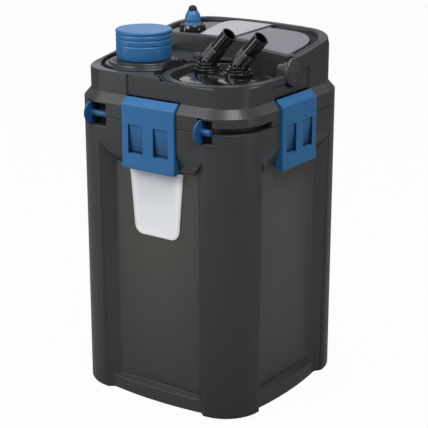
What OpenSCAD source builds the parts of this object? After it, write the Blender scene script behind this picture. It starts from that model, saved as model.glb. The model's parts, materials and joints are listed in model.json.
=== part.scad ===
// Canister filter for a large aquarium: a square canister with four rounded corner
// columns, a clamped pump head, a twist-out prefilter, a hose unit and a heater.
// Origin at the centre of the base, +Z up, the badge side faces -Y.

/* [Canister] */
// Height of the parting line between canister and head
canister_h = 418; // [380:1:460]
// Distance from the centre to the bowed outer skin
skin_reach = 148.5; // [147:0.5:150]
// Depth of the recessed side panels below the skin
panel_depth = 17.5; // [16:0.5:19]
// Radius of the rounded corner columns
column_r = 60; // [57:0.5:63]
// Radius of the gentle bow along each side
side_bow_r = 2500; // [2000:50:4000]
// Wall thickness of the moulded shells
wall = 4; // [3.5:0.25:4.5]
// Distance from a column axis to the side edge of the flat panel
flank_setback = 17; // [15:0.5:21]
// Sideways slope of the column flanks over the depth of the recess
flank_slope = 22; // [18:0.5:24]
// Rounding of the lower column edge
column_foot_r = 5; // [3:0.5:7]
// Thickness of the canister floor
floor_t = 6; // [5:0.5:8]

/* [Base rails] */
// Height of the upright face of the base rails
rail_h = 20; // [16:0.5:26]
// Height of the bevel on top of the rails
rail_bevel_h = 4; // [3:0.5:6]
// How far the middle of a rail stands behind the skin
rail_setback = 5.1; // [3.5:0.1:8]
// Radius of the outward bow of the rails
rail_bow_r = 563; // [500:1:700]

/* [Skirt] */
// Drop from the parting line to where the skirt starts to curve in
skirt_turn_drop = 23; // [18:1:38]
// Radius of the inward curve below the skirt
skirt_curve_r = 64; // [60:0.5:70]
// How far the level lower edge of the skirt ends inside the panel edge
skirt_end_inset = 10; // [6:1:14]
// Drop from the parting line to the lower edge of the skirt
skirt_drop = 69; // [68:1:74]

/* [Feet] */
// Radius of the rubber feet
foot_r = 20; // [16:0.5:24]
// Thickness of the rubber feet
foot_t = 4; // [3.5:0.25:5]
// How far the feet stand below the canister
foot_proud = 1.5; // [1:0.25:2.5]

/* [Head] */
// Height of the upright band of the head flange
flange_band_h = 21.5; // [20:0.5:24]
// Height of the bevel above the flange band
flange_bevel_h = 11.5; // [9:0.5:13]
// How far the bevel leans in
flange_inset = 10; // [8:0.5:11]
// Height of the head deck above the flange
deck_rise = 31; // [28:0.5:34]
// Depth of the spigot that enters the canister
spigot_h = 14; // [12:0.5:16]
// Inset of the canister mouth from the outer skin
mouth_inset = 24.5; // [24:0.25:26]
// Width of the ledge that carries the sealing ring
ledge_w = 5.5; // [5:0.25:6]
// Drop of the nose around the hose bay below the deck
nose_drop = 5; // [3:0.5:7]
// Height of the finger slot under the head at the front right corner
corner_slot_h = 9; // [7:0.5:11]
// Depth of the finger slot
corner_slot_depth = 13; // [10:0.5:15]

/* [Rear housing] */
// Distance from the back skin to the housing front on the heater side
housing_depth = 111.5; // [108:0.5:114]
// How much further forward the housing front stands on the lever side
housing_step = 29; // [25:0.5:31]
// Height of the crowned top above the deck at the housing front
housing_rise = 27; // [23:0.5:31]
// Backward rise of the crowned top in degrees
crown_tilt = 7.9; // [6:0.1:9]
// Radius of the crowned top
crown_r = 2000; // [1500:50:3000]
// Width of the rim around the top opening
rim_w = 8; // [6:0.5:10]
// Depth of the top tray below the rim
tray_depth = 3.5; // [3:0.25:5]

/* [Clamps] */
// Width of each clamp
clamp_w = 89; // [86:0.5:94]
// How far the clamp face stands in front of the skin
clamp_proud = 3; // [2.5:0.25:4.5]
// Thickness of the clamp plate
clamp_t = 3.2; // [2.8:0.1:3.6]
// Drop from the parting line to the lower edge of the clamps
clamp_drop = 66; // [62:0.5:69]
// Width of the windows in the clamps
window_w = 25; // [22:0.5:28]
// Half distance between the windows
window_gap = 9; // [7:0.5:11]
// Radius of the clamp hinge pins
clamp_pin_r = 2.5; // [2:0.1:3]
// Depth of the hinge pins behind the clamp face
clamp_pin_depth = 12; // [11.5:0.25:12.5]
// Depth of the hinge pins below the flange top
clamp_pin_drop = 11; // [10.5:0.25:12]

/* [Release knobs] */
// Radius of the knob discs
knob_disc_r = 17; // [15:0.5:18]
// Thickness of the knob discs
knob_disc_t = 5.5; // [5:0.25:7.5]
// Radius of the knob stems
knob_stem_r = 4.7; // [4:0.1:5.2]
// Length of the right knob's stem
knob_stem_l = 20; // [16:0.25:24]
// How much longer the stem of the left knob is
knob_stem_extra = 13; // [0:0.5:18]
// Height of the knob axes above the parting line
knob_rise = 2.5; // [1.5:0.25:4]
// How far the axis of the right knob stands behind the skin
knob_right_inset = 2.5; // [1.5:0.5:4.5]
// How far the axis of the left knob stands behind the skin
knob_left_inset = 7.5; // [5.5:0.5:9.5]

/* [Prefilter] */
// Distance from the left skin to the prefilter axis
prefilter_side = 78; // [75.5:0.5:80.5]
// Distance from the front skin to the prefilter axis
prefilter_front = 83.5; // [80.5:0.5:86.5]
// Height of the prefilter knob
prefilter_knob_h = 41.5; // [36:0.5:46]
// Least width of the deck left outside the recess of the prefilter collar
recess_margin = 16; // [15:0.5:18]
// Gap between the collar and the edge of its recess
collar_gap = 5; // [4:0.5:7]
// Width of the stepped prefilter collar
collar_w = 16; // [14:0.5:17]
// How much smaller the knob is than the lid
knob_setback = 0.5; // [0.5:0.25:3]
// How much smaller the foams are than the lid
foam_setback = 3; // [2:0.5:5]
// Number of prefilter foams
foam_count = 5; // [3:1:6]

/* [Hose unit] */
// Distance from the right skin to the axis of the hose bay
bay_side = 93.5; // [92.5:0.5:95.5]
// Distance from the front skin to the axis of the hose bay
bay_front = 95.5; // [93.5:0.5:96.5]
// Width of the deck left between the hose bay and the right skin
bay_margin = 23.5; // [22.5:0.5:25.5]
// Depth of the bay below the nose
bay_depth = 15; // [12:0.5:17]
// Sideways distance between the two elbows
elbow_pitch = 52; // [50:0.5:56]
// Offset of the elbows from the middle of the bay
elbow_shift_x = -2; // [-4:0.5:0]
// Depth offset of the elbows in the bay
elbow_shift_y = 7; // [4:0.5:9]
// Radius of the hose tails
tail_r = 10.8; // [10:0.1:11.2]
// Wall thickness of the hose tails
tail_wall = 1.8; // [1.4:0.1:2.4]
// Length of the elbow arm from its bend
tail_l = 55; // [50:0.5:60]
// Lean of the elbow arm from upright, in degrees
elbow_lean = 42; // [38:1:50]
// Height of the bend above the foot flange
elbow_rise = 10; // [8:0.5:14]
// How far the ribbed sleeve stands out around the tail
sleeve_step = 1.7; // [1.4:0.1:2.4]
// Length of the ribbed sleeve
sleeve_l = 28; // [24:0.5:32]
// Number of ribs on each sleeve
sleeve_ribs = 7; // [4:1:9]
// Radius of the adapter spigots
port_r = 13; // [12:0.25:14]

/* [Locking lever] */
// Width of the lever band
lever_w = 11; // [9:0.5:11.5]
// Height of the lever band
lever_t = 10; // [8:0.5:10.5]
// Radius of the lever hub disc
hub_r = 19.5; // [16:0.5:20]
// How far the hub face stands behind the skin
hub_inset = 1.5; // [0.5:0.5:4]
// Radius of the lever pivot pins
lever_pin_r = 5; // [4:0.25:6]
// Height of the lever pivot above the nose
lever_pivot_rise = 6; // [4:0.5:7]

/* [Heater] */
// Distance from the left skin to the heater axis
heater_side = 67.5; // [64.5:0.5:70.5]
// Distance from the back skin to the heater axis
heater_back = 80.5; // [77.5:0.5:83.5]
// Radius of the heater tube
heater_r = 12; // [10:0.5:14]
// Radius of the boss under the dial
heater_boss_r = 20; // [18:0.5:22]
// Radius of the spindle that the dial turns on
spindle_r = 5; // [4:0.25:6]
// Radius of the heater dial at its foot
dial_r = 12.5; // [11:0.5:13.5]
// Height of the heater dial
dial_h = 23; // [19:0.5:26]
// Number of ribs around the dial
dial_ribs = 18; // [12:1:24]

/* [Pump] */
// Sideways position of the pump
pump_x = -8; // [-10:0.5:-6]
// Distance from the back skin to the pump axis
pump_back = 63.5; // [61.5:0.5:65.5]
// Radius of the impeller
impeller_r = 22; // [20:0.5:23]
// Number of impeller blades
blade_count = 6; // [4:1:8]
// Radius of the rotor magnet
rotor_r = 12.5; // [11:0.5:13.5]
// Outer radius of the motor stator
stator_r = 30; // [26:0.5:30.5]
// Height of the motor stator
stator_h = 54; // [46:1:58]
// Radius of the motor shaft
shaft_r = 2; // [1.5:0.1:2.5]

/* [Priming pump] */
// Distance from the right skin to the priming pump
primer_side = 72.5; // [68.5:0.5:76.5]
// Distance from the back skin to the priming pump
primer_back = 84.5; // [80.5:0.5:88.5]
// Radius of the priming plunger
primer_r = 16; // [14:0.5:18]
// Stroke of the priming button
primer_stroke = 8; // [6:0.5:9]
// Coil radius of the return spring
spring_r = 10; // [8:0.5:12]
// Wire radius of the return spring
spring_wire_r = 0.9; // [0.7:0.1:1.1]
// Turns of the return spring
spring_turns = 4; // [3:1:5]

/* [Media baskets] */
// Headroom above the stack of four baskets
basket_room = 16.5; // [12:0.5:24]
// Gap between the baskets and the prefilter tube
basket_tube_gap = 6; // [4:0.5:10]
// Gap between the baskets and the canister mouth at the front and back
basket_mouth_gap = 4.5; // [3:0.5:8]
// Wall thickness of a basket
basket_wall = 2; // [1.5:0.25:2.5]
// How much tighter the outer basket corners are than the columns
basket_corner_step = 34; // [30:0.5:35]
// Number of floor slots in a basket
basket_slots = 8; // [4:1:10]

/* [Badge] */
// Width of the badge plate at its top
badge_top_w = 92; // [84:1:96]
// Width of the badge plate near its foot
badge_foot_w = 75; // [66:1:80]
// Height of the badge plate
badge_h = 99; // [84:1:110]
// Thickness of the badge plate
badge_t = 2.2; // [1.6:0.1:3]

/* [Fits] */
// Radial clearance of pins and spindles that turn
running_fit = 0.08; // [0.05:0.01:0.1]
// Gap between moulded pieces that move past each other
part_gap = 1.2; // [0.8:0.1:1.4]

/* [Hidden] */
$fn = 96;
bow_fn = 720;
corner_steps = 14;
side_steps = 8;
eps = 0.02;
far = 400;

shell_grey = [0.19, 0.19, 0.19];
blue = [0.20, 0.42, 0.62];
gloss_black = [0.05, 0.05, 0.06];
sides = [0:90:270];

// Heights that follow from the driving sizes
base_z = foot_proud;
panel_reach = skin_reach - panel_depth;
rail_reach = skin_reach - rail_setback;
skirt_turn_z = canister_h - skirt_turn_drop;
skirt_low_z = canister_h - skirt_drop;
clamp_low_z = canister_h - clamp_drop;
clamp_reach = skin_reach + clamp_proud;
flange_mid_z = canister_h + flange_band_h;
flange_top_z = flange_mid_z + flange_bevel_h;
deck_z = flange_top_z + deck_rise;
nose_z = deck_z - nose_drop;
housing_top_z = deck_z + housing_rise;
seam_h = 1;
seam_depth = 0.9;
bay_z = nose_z - bay_depth;
spigot_low_z = canister_h - spigot_h;
gasket_t = 6;
ledge_z = spigot_low_z - gasket_t;
lobe_top_z = skirt_turn_z - wall;
cavity_low_z = base_z + floor_t;
deck_t = wall;

// The skin outline: four wide arcs that run tangent into the corner circles
side_centre = side_bow_r - skin_reach;
corner_c = (sqrt(2 * pow(side_bow_r - column_r, 2) - pow(side_centre, 2)) - side_centre) / 2;
corner_angle = atan2(corner_c, corner_c + side_centre);
panel_half = corner_c - flank_setback;
skirt_half = panel_half - skirt_end_inset;
foot_c = corner_c + 13;

// Plan of the head
prefilter_x = prefilter_side - skin_reach;
prefilter_y = prefilter_front - skin_reach;
collar_recess_r = prefilter_side - recess_margin;
collar_r = collar_recess_r - collar_gap;
lid_r = collar_r - collar_w;
prefilter_knob_r = lid_r - knob_setback;
foam_r = lid_r - foam_setback;
bay_x = skin_reach - bay_side;
bay_y = bay_front - skin_reach;
bay_r = bay_side - bay_margin;
housing_front_y = skin_reach - housing_depth;
housing_step_y = housing_front_y - housing_step;
step_left_x = bay_x - 17;
step_right_x = bay_x + 17;
heater_x = heater_side - skin_reach;
heater_y = skin_reach - heater_back;
pump_y = skin_reach - pump_back;
primer_x = skin_reach - primer_side;
primer_y = skin_reach - primer_back;

// Positions in the hose bay
tail_bore_r = tail_r - tail_wall;
sleeve_r = tail_r + sleeve_step;
foot_bore_r = tail_bore_r - 0.5;
elbow_foot_r = foot_bore_r + 2.6;
elbow_y = bay_y + elbow_shift_y;
inlet_x = bay_x + elbow_shift_x - elbow_pitch / 2;
outlet_x = bay_x + elbow_shift_x + elbow_pitch / 2;
adapter_z = deck_z + 1.5;
adapter_r = bay_r - 8;
lever_channel_z = nose_z - lever_t + 1;
lever_z = lever_channel_z + 0.5;
lever_pivot_y = housing_step_y - 8;
lever_pivot_z = nose_z + lever_pivot_rise;
lever_boss_r = 12.5;
lug_r = 9.5;
lever_in_r = bay_r + 0.6;
lever_out_r = lever_in_r + lever_w;
arm_right_x = bay_x + lever_in_r;
arm_left_x = bay_x - lever_in_r;
hub_face_x = skin_reach - hub_inset;

// Clamp hinge and recess
clamp_pin_o = clamp_reach - clamp_pin_depth;
clamp_pin_z = flange_top_z - clamp_pin_drop;
clamp_swing_r = norm([clamp_pin_depth, clamp_pin_drop]) - 3.2;
recess_half = clamp_w / 2 + 1.4;
recess_o = skin_reach - 12.5;
head_recess_o = skin_reach - 13;
knob_z = canister_h + knob_rise;
knob_right_x = corner_c - 5;
knob_left_x = -corner_c - 23.5;
knob_right_y = knob_right_inset - skin_reach;
knob_left_y = knob_left_inset - skin_reach;

// Heater head on the crowned top
heater_top_z = housing_top_z + (heater_y - housing_front_y) * tan(crown_tilt);
heater_seat_z = heater_top_z - tray_depth - 3;
dish_floor_z = heater_seat_z + 8.1;
dial_low_z = dish_floor_z + 0.5;

// Prefilter and pump heights
collar_z = deck_z - 6;
collar_h = 13;
knob_low_z = collar_z + collar_h + 1.5;
lid_low_z = collar_z - 4;
rotor_low_z = spigot_low_z + 26;
primer_floor_z = flange_top_z + 8;
plunger_low_z = deck_z - 6;
basket_low_z = cavity_low_z + 6;
basket_h = (ledge_z - basket_low_z - basket_room) / 4;
basket_left_x = prefilter_x + lid_r + 3.5 + basket_tube_gap;

// --- shared outlines -----------------------------------------------------------------

// Points of one corner with a tangent arc of radius r between its two neighbours
function fillet_points(a, b, c, r, n = 6) =
    let (u = (a - b) / norm(a - b), v = (c - b) / norm(c - b),
         half = acos(u * v) / 2,
         d = min(r / tan(half), norm(a - b) / 2, norm(c - b) / 2),
         rr = d * tan(half),
         m = b + (u + v) / norm(u + v) * rr / sin(half),
         s = b + u * d - m, e = b + v * d - m,
         a0 = atan2(s[1], s[0]),
         sweep = let (t = atan2(e[1], e[0]) - a0) t > 180 ? t - 360 : t < -180 ? t + 360 : t)
    [for (i = [0:n]) m + rr * [cos(a0 + sweep * i / n), sin(a0 + sweep * i / n)]];

// A closed outline with its own radius at each corner
function rounded(points, radii) =
    let (n = len(points))
    [for (i = [0:n - 1])
        each fillet_points(points[(i + n - 1) % n], points[i], points[(i + 1) % n], radii[i])];

function turned(p, q) = [p[0] * cos(q) - p[1] * sin(q), p[0] * sin(q) + p[1] * cos(q)];

// Points of the skin outline, drawn in by inset
function skin_points(inset) =
    [for (q = sides) each concat(
        [for (i = [0:corner_steps])
            let (a = -90 + corner_angle + i * (90 - 2 * corner_angle) / corner_steps)
            turned([corner_c, -corner_c] + (column_r - inset) * [cos(a), sin(a)], q)],
        [for (i = [1:side_steps - 1])
            let (a = -corner_angle + i * 2 * corner_angle / side_steps)
            turned([-side_centre, 0] + (side_bow_r - inset) * [cos(a), sin(a)], q)])];

// Upright solid with the skin outline
module skin_block(z0, z1, inset) {
    translate([0, 0, z0])
        linear_extrude(z1 - z0)
            polygon(skin_points(inset));
}

// Bevel between two insets of the skin outline
module skin_bevel(z0, z1, inset0, inset1) {
    rings = [skin_points(inset0), skin_points(inset1)];
    n = len(rings[0]);
    points = [for (k = [0, 1], p = rings[k]) [p[0], p[1], k == 0 ? z0 : z1]];
    walls = [for (i = [0:n - 1]) let (j = (i + 1) % n) [i, n + i, n + j, j]];
    polyhedron(points, concat(walls, [[for (i = [0:n - 1]) i], [for (i = [n - 1:-1:0]) n + i]]));
}

// Upright solid with the skin outline and true arcs
module bowed_block(z0, z1, inset) {
    reach = (skin_reach - corner_c) / cos(corner_angle) + 4;
    cross = [for (q = sides, s = [-1, 1], k = s < 0 ? [0, 1] : [1, 0])
        turned([
            s * (corner_c + k * reach * sin(corner_angle)), -corner_c - k * reach * cos(corner_angle)], q)];
    translate([0, 0, z0]) {
        intersection() {
            intersection_for(q = sides)
                rotate(q)
                    translate([0, side_centre, 0])
                        cylinder(h = z1 - z0, r = side_bow_r - inset, $fn = bow_fn);
            linear_extrude(z1 - z0)
                polygon(cross);
        }
        for (x = [-1, 1], y = [-1, 1])
            translate([x * corner_c, y * corner_c, 0])
                cylinder(h = z1 - z0, r = column_r - inset);
    }
}

// Upright solid with a constant inset from the skin
module bowed_ring(z0, z1, inset, t) {
    difference() {
        bowed_block(z0, z1, inset);
        bowed_block(z0 - 1, z1 + 1, inset + t);
    }
}

// Half width of the recess between two columns at the distance o from the centre
function recess_w(o, grow) =
    let (k = flank_slope / (skin_reach - panel_reach))
    panel_half + k * (o - panel_reach) + grow * sqrt(1 + k * k);

// Plan of the recess between the columns on the -Y side
module recess_plan(grow, depth) {
    o1 = skin_reach + 20;
    o0 = panel_reach - grow - depth;
    polygon([
        [-recess_w(o0 + depth, grow), -o0], [-recess_w(o1, grow), -o1],
        [recess_w(o1, grow), -o1], [recess_w(o0 + depth, grow), -o0],
    ]);
}

// Rod along X
module rod_x(x0, x1, y, z, r) {
    translate([x0, y, z])
        rotate([0, 90, 0])
            cylinder(h = x1 - x0, r = r);
}

// Box from its two corners
module box(p, q) {
    translate(p)
        cube(q - p);
}

// Tube standing on z0
module tube(z0, z1, r_out, r_in) {
    translate([0, 0, z0])
        difference() {
            cylinder(h = z1 - z0, r = r_out);
            translate([0, 0, -1])
                cylinder(h = z1 - z0 + 2, r = r_in);
        }
}

// --- canister ------------------------------------------------------------------------

// Square plan between the columns, with its corners inside them
module core_plan(o) {
    polygon([for (q = sides, p = [[corner_c, -o], [o, -corner_c]]) turned(p, q)]);
}

// One corner column with its rounded lower edge
module column() {
    translate([corner_c, corner_c, base_z]) {
        translate([0, 0, column_foot_r])
            cylinder(h = skirt_turn_z - base_z - column_foot_r, r = column_r);
        cylinder(h = column_foot_r, r = column_r - column_foot_r);
        translate([0, 0, column_foot_r])
            rotate_extrude()
                translate([column_r - column_foot_r, 0])
                    circle(column_foot_r, $fn = 32);
    }
}

// Bowed rail that joins two columns at the floor
module base_rail() {
    intersection() {
        translate([0, 0, base_z])
            linear_extrude(rail_h + rail_bevel_h)
                recess_plan(0, 2);
        translate([0, rail_bow_r - rail_reach, base_z]) {
            cylinder(h = rail_h, r = rail_bow_r, $fn = 360);
            translate([0, 0, rail_h])
                cylinder(h = rail_bevel_h, r1 = rail_bow_r, r2 = rail_bow_r - 14, $fn = 360);
        }
    }
}

// Lower part of the skirt on one side, curved in towards the panel
module skirt_side() {
    curve_o = skin_reach - skirt_curve_r;
    intersection() {
        bowed_block(skirt_low_z, skirt_turn_z, 0);
        translate([0, -curve_o, skirt_turn_z])
            rotate([0, 90, 0])
                cylinder(h = far, r = skirt_curve_r, center = true);
        translate([0, -curve_o, skirt_low_z])
            rotate([90, 0, 0])
                linear_extrude(far)
                    polygon([
                        [-skirt_half, -1], [skirt_half, -1],
                        [skirt_half + skirt_turn_z - skirt_low_z, skirt_turn_z - skirt_low_z + 1],
                        [-skirt_half - skirt_turn_z + skirt_low_z, skirt_turn_z - skirt_low_z + 1],
                    ]);
    }
}

// Room for a clamp: a shallow bay in the skirt or flange
module clamp_bay(z0, z1, o) {
    box([-recess_half, -far / 2, z0], [recess_half, -o, z1]);
}

// Room for both release knobs, cut from canister and head alike
module knob_rooms() {
    for (k = [[knob_right_x, knob_right_y, 0], [knob_left_x, knob_left_y, knob_stem_extra]]) {
        rod_x(k[0] - part_gap, k[0] + knob_disc_t + 1, k[1], knob_z, knob_disc_r + part_gap);
        box(
            [k[0] + knob_disc_t, k[1] - 25, knob_z - 16],
            [k[0] + knob_stem_l + k[2] + 1, k[1] + 13, knob_z + 16]);
    }
}

module canister() {
    color(shell_grey)
        difference() {
            union() {
                difference() {
                    union() {
                        translate([0, 0, base_z])
                            linear_extrude(skirt_turn_z - base_z)
                                core_plan(panel_reach);
                        for (q = sides)
                            rotate(q)
                                column();
                    }
                    for (q = sides)
                        rotate(q)
                            translate([0, 0, -1])
                                linear_extrude(skirt_turn_z + 2)
                                    recess_plan(0, 0);
                }
                for (q = sides)
                    rotate(q) {
                        base_rail();
                        skirt_side();
                    }
                bowed_block(skirt_turn_z, canister_h, 0);
            }
            canister_cavity();
            for (q = sides)
                rotate(q)
                    difference() {
                        clamp_bay(skirt_low_z - 10, canister_h + 1, recess_o);
                        clamp_catch();
                    }
            knob_rooms();
            for (x = [-1, 1], y = [-1, 1])
                translate([x * foot_c, y * foot_c, base_z - 1])
                    cylinder(h = foot_t - foot_proud + 1, r = foot_r);
        }
}

// Hollow of the canister: the square room, the cored columns and the mouth
module canister_cavity() {
    translate([0, 0, cavity_low_z])
        linear_extrude(lobe_top_z - cavity_low_z)
            difference() {
                for (x = [-1, 1], y = [-1, 1])
                    translate([x * corner_c, y * corner_c])
                        circle(column_r - wall);
                for (q = sides)
                    rotate(q)
                        recess_plan(wall, 0);
            }
    translate([0, 0, cavity_low_z])
        linear_extrude(lobe_top_z - cavity_low_z)
            core_plan(panel_reach - wall);
    bowed_block(lobe_top_z - 1, ledge_z + 1, mouth_inset + ledge_w);
    bowed_block(ledge_z, canister_h + 1, mouth_inset);
}

// Rail behind each clamp that the clamp hook seats under
module clamp_catch() {
    catch_z = clamp_low_z + 26;
    box([-recess_half + 8, -recess_o - 5, catch_z], [recess_half - 8, -recess_o + 1, catch_z + 8]);
}

module feet() {
    color("dimgray")
        for (x = [-1, 1], y = [-1, 1])
            translate([x * foot_c, y * foot_c, 0])
                cylinder(h = foot_t, r = foot_r);
}

module badge_plate() {
    h = badge_h;
    color("white")
        translate([0, -panel_reach, skirt_low_z + 2 - h])
            rotate([90, 0, 0])
                linear_extrude(badge_t)
                    polygon(rounded(
                        [[-badge_top_w / 2, h], [-badge_foot_w / 2, 0], [badge_foot_w / 2, 0], [badge_top_w / 2, h]],
                        [0.5, 14, 14, 0.5]));
}

module head_gasket() {
    color("dimgray")
        bowed_ring(ledge_z, spigot_low_z, mouth_inset + 0.4, 4.5);
}

// --- head ----------------------------------------------------------------------------

// Everything below the crowned top surface, lowered by drop
module below_crown(drop) {
    translate([0, housing_front_y, housing_top_z - drop])
        rotate([crown_tilt, 0, 0])
            translate([0, 0, -crown_r])
                rotate([90, 0, 0])
                    cylinder(h = 2 * far, r = crown_r, center = true, $fn = bow_fn);
}

// Plan of the rear housing, drawn in by t
module housing_plan(t) {
    polygon(rounded(
        [
            [-far / 2, housing_front_y + t], [step_left_x + t / 2, housing_front_y + t],
            [step_right_x + t / 2, housing_step_y + 6 + t], [far / 2, housing_step_y - 7 + t],
            [far / 2, far / 2], [-far / 2, far / 2],
        ],
        [1, 22, 22, 1, 1, 1]));
}

// Outer form of the rear housing up to its crowned top
module housing_form(inset, drop, t) {
    top = flange_inset + inset;
    intersection() {
        union() {
            skin_block(flange_top_z, deck_z + 22, top);
            skin_bevel(deck_z + 22, deck_z + 32, top, top + 2);
            skin_bevel(deck_z + 32, deck_z + 48, top + 2, top + 10);
        }
        translate([0, 0, flange_top_z - 1])
            linear_extrude(far / 2)
                housing_plan(t);
        below_crown(drop);
    }
}

// Raised fence on the outer side of the prefilter
module prefilter_fence() {
    intersection() {
        skin_block(deck_z - 1, deck_z + 12, flange_inset);
        translate([-far / 2, 0, 0])
            rotate([90, 0, 90])
                linear_extrude(far / 2 + prefilter_x - 21.5)
                    polygon([
                        [prefilter_y - 47, deck_z - 1], [prefilter_y + 25, deck_z + 9],
                        [housing_front_y + 5, deck_z + 10], [housing_front_y + 5, deck_z - 2],
                        [prefilter_y - 47, deck_z - 2],
                    ]);
    }
}

// Hollow inside the head, less the wells and sleeves that stand in it
module head_cavity() {
    difference() {
        union() {
            skin_block(spigot_low_z - 1, flange_top_z + 5, mouth_inset + 2 * wall);
            skin_block(flange_top_z + 4, deck_z - deck_t, flange_inset + 7);
            housing_form(7, tray_depth + wall, wall + 1);
        }
        translate([bay_x, bay_y, bay_z - wall])
            cylinder(h = far, r = bay_r + wall);
        translate([bay_x, bay_y, lever_channel_z - wall])
            cylinder(h = far, r = lever_out_r + wall);
        box([arm_right_x - 4, bay_y, lever_channel_z - wall], [far, lever_pivot_y + 30, deck_z + 25]);
        box([arm_left_x - lever_w - 5, bay_y, lever_channel_z - wall], [arm_left_x + 6, lever_pivot_y + 30, deck_z]);
        translate([prefilter_x, prefilter_y, spigot_low_z - 2])
            cylinder(h = far, r = lid_r + 4 + wall);
        translate([prefilter_x, prefilter_y, collar_z - wall])
            cylinder(h = far, r = collar_recess_r + wall);
        translate([heater_x, heater_y, spigot_low_z - 2])
            cylinder(h = far, r = heater_r + 6 + wall);
        box([arm_right_x - 26, lever_pivot_y - 30, flange_top_z], [far, lever_pivot_y + 27, lever_pivot_z + 26]);
    }
}

// The hose bay, the channel of the lever and the recess of its hub
module bay_cuts() {
    translate([bay_x, bay_y, bay_z])
        cylinder(h = far, r = bay_r);
    translate([bay_x, bay_y, nose_z])
        cylinder(h = far, r = lever_out_r + 12);
    translate([bay_x, bay_y, lever_channel_z])
        cylinder(h = far, r = lever_out_r + 0.8);
    box([arm_right_x - 0.6, bay_y, lever_channel_z], [far, lever_pivot_y + 2, far * 2]);
    box([arm_left_x - lever_w - 0.6, bay_y, lever_channel_z], [arm_left_x + 1, lever_pivot_y + 15, far * 2]);
    rod_x(arm_left_x - lever_w - 0.6, arm_left_x + 1, lever_pivot_y, lever_pivot_z, 15);
    rod_x(arm_right_x - 0.6, far, lever_pivot_y, lever_pivot_z, hub_r + 2.5);
    for (x = [inlet_x, outlet_x])
        translate([x, elbow_y, bay_z - wall - 1])
            cylinder(h = far, r = port_r + running_fit);
}

module head_shell() {
    color(shell_grey)
        difference() {
            union() {
                skin_block(spigot_low_z, canister_h, mouth_inset + 0.4);
                skin_block(canister_h, canister_h + seam_h, seam_depth);
                skin_block(canister_h + seam_h, flange_mid_z, 0);
                skin_bevel(flange_mid_z, flange_top_z, 0, flange_inset);
                skin_block(flange_top_z, deck_z, flange_inset);
                prefilter_fence();
                housing_form(0, 0, 0);
                lever_lugs();
            }
            head_cavity();
            difference() {
                bay_cuts();
                translate([0, 0, bay_z])
                    linear_extrude(far)
                        housing_plan(0);
                lever_lugs();
            }
            rod_x(arm_right_x - 0.6, far, lever_pivot_y, lever_pivot_z, hub_r + 2.5);
            for (q = sides)
                rotate(q)
                    difference() {
                        union() {
                            clamp_bay(canister_h - 1, clamp_pin_z, recess_o);
                            rod_x(-recess_half, recess_half, -clamp_pin_o, clamp_pin_z, clamp_swing_r);
                            clamp_bay(clamp_pin_z, deck_z + 2, head_recess_o);
                        }
                        clamp_lugs();
                    }
            knob_rooms();
            corner_slot();
            translate([prefilter_x, prefilter_y, collar_z])
                cylinder(h = far, r = collar_recess_r);
            translate([prefilter_x, prefilter_y, 0])
                cylinder(h = 2 * far, r = lid_r + 4);
            translate([inlet_x, elbow_y, duct_z])
                rotate([0, 90, inlet_angle])
                    translate([0, 0, 20])
                        cylinder(h = inlet_len - 20 - lid_r, r = 7);
            translate([heater_x, heater_y, 0])
                cylinder(h = 2 * far, r = heater_r + 0.5);
            translate([heater_x, heater_y, heater_seat_z])
                cylinder(h = far, r = heater_boss_r);
            top_tray();
            priming_well();
            rod_x(arm_left_x - 1, arm_left_x + 10, lever_pivot_y, lever_pivot_z, lever_pin_r);
            rod_x(arm_right_x - 10, arm_right_x + 2, lever_pivot_y, lever_pivot_z, lever_pin_r);
            translate([-40, skin_reach - 30, flange_top_z + 18])
                rotate([-90, 0, 0])
                    cylinder(h = 40, r = 8);
        }
}

// Upright lugs on the inner side of the lever arms that carry its pivot pins
module lever_lugs() {
    for (x = [arm_left_x + 1, arm_right_x - 9]) {
        rod_x(x, x + 8, lever_pivot_y, lever_pivot_z, lug_r);
        box([x, lever_pivot_y - lug_r, lever_channel_z - 3], [x + 8, lever_pivot_y + lug_r, lever_pivot_z]);
    }
}

// Lugs that carry the clamp pin on the -Y side
module clamp_lugs() {
    for (s = [-1, 1])
        difference() {
            union() {
                rod_x(s * 23 - 4.5, s * 23 + 4.5, -clamp_pin_o, clamp_pin_z, clamp_pin_r + 1.9);
                box(
                    [s * 23 - 4.5, -clamp_pin_o - 2.5, clamp_pin_z - 16],
                    [s * 23 + 4.5, -clamp_pin_o + 20, clamp_pin_z - 3.2]);
            }
            rod_x(s * 23 - 5, s * 23 + 5, -clamp_pin_o, clamp_pin_z, clamp_pin_r);
        }
}

// Finger slot between head and canister around the front right corner
module corner_slot() {
    intersection() {
        bowed_ring(canister_h - 1, canister_h + corner_slot_h, -5, corner_slot_depth + 5);
        box(
            [knob_right_x + knob_disc_t, -far / 2, canister_h - 2],
            [far / 2, 21 - corner_c, canister_h + 20]);
    }
}

// Opening in the crowned top inside the rim
module top_opening() {
    edge = skin_reach - flange_inset - 4.5 - rim_w;
    polygon(rounded(
        [
            [-edge, housing_front_y + rim_w], [step_left_x - 2, housing_front_y + rim_w],
            [step_right_x + 1, housing_step_y + 6 + rim_w], [edge, housing_step_y + rim_w],
            [edge, edge], [-edge, edge],
        ],
        [10, 18, 18, 8, column_r - rim_w, column_r - rim_w]));
}

module top_tray() {
    difference() {
        translate([0, 0, deck_z])
            linear_extrude(far / 4)
                top_opening();
        below_crown(tray_depth);
    }
}

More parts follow.
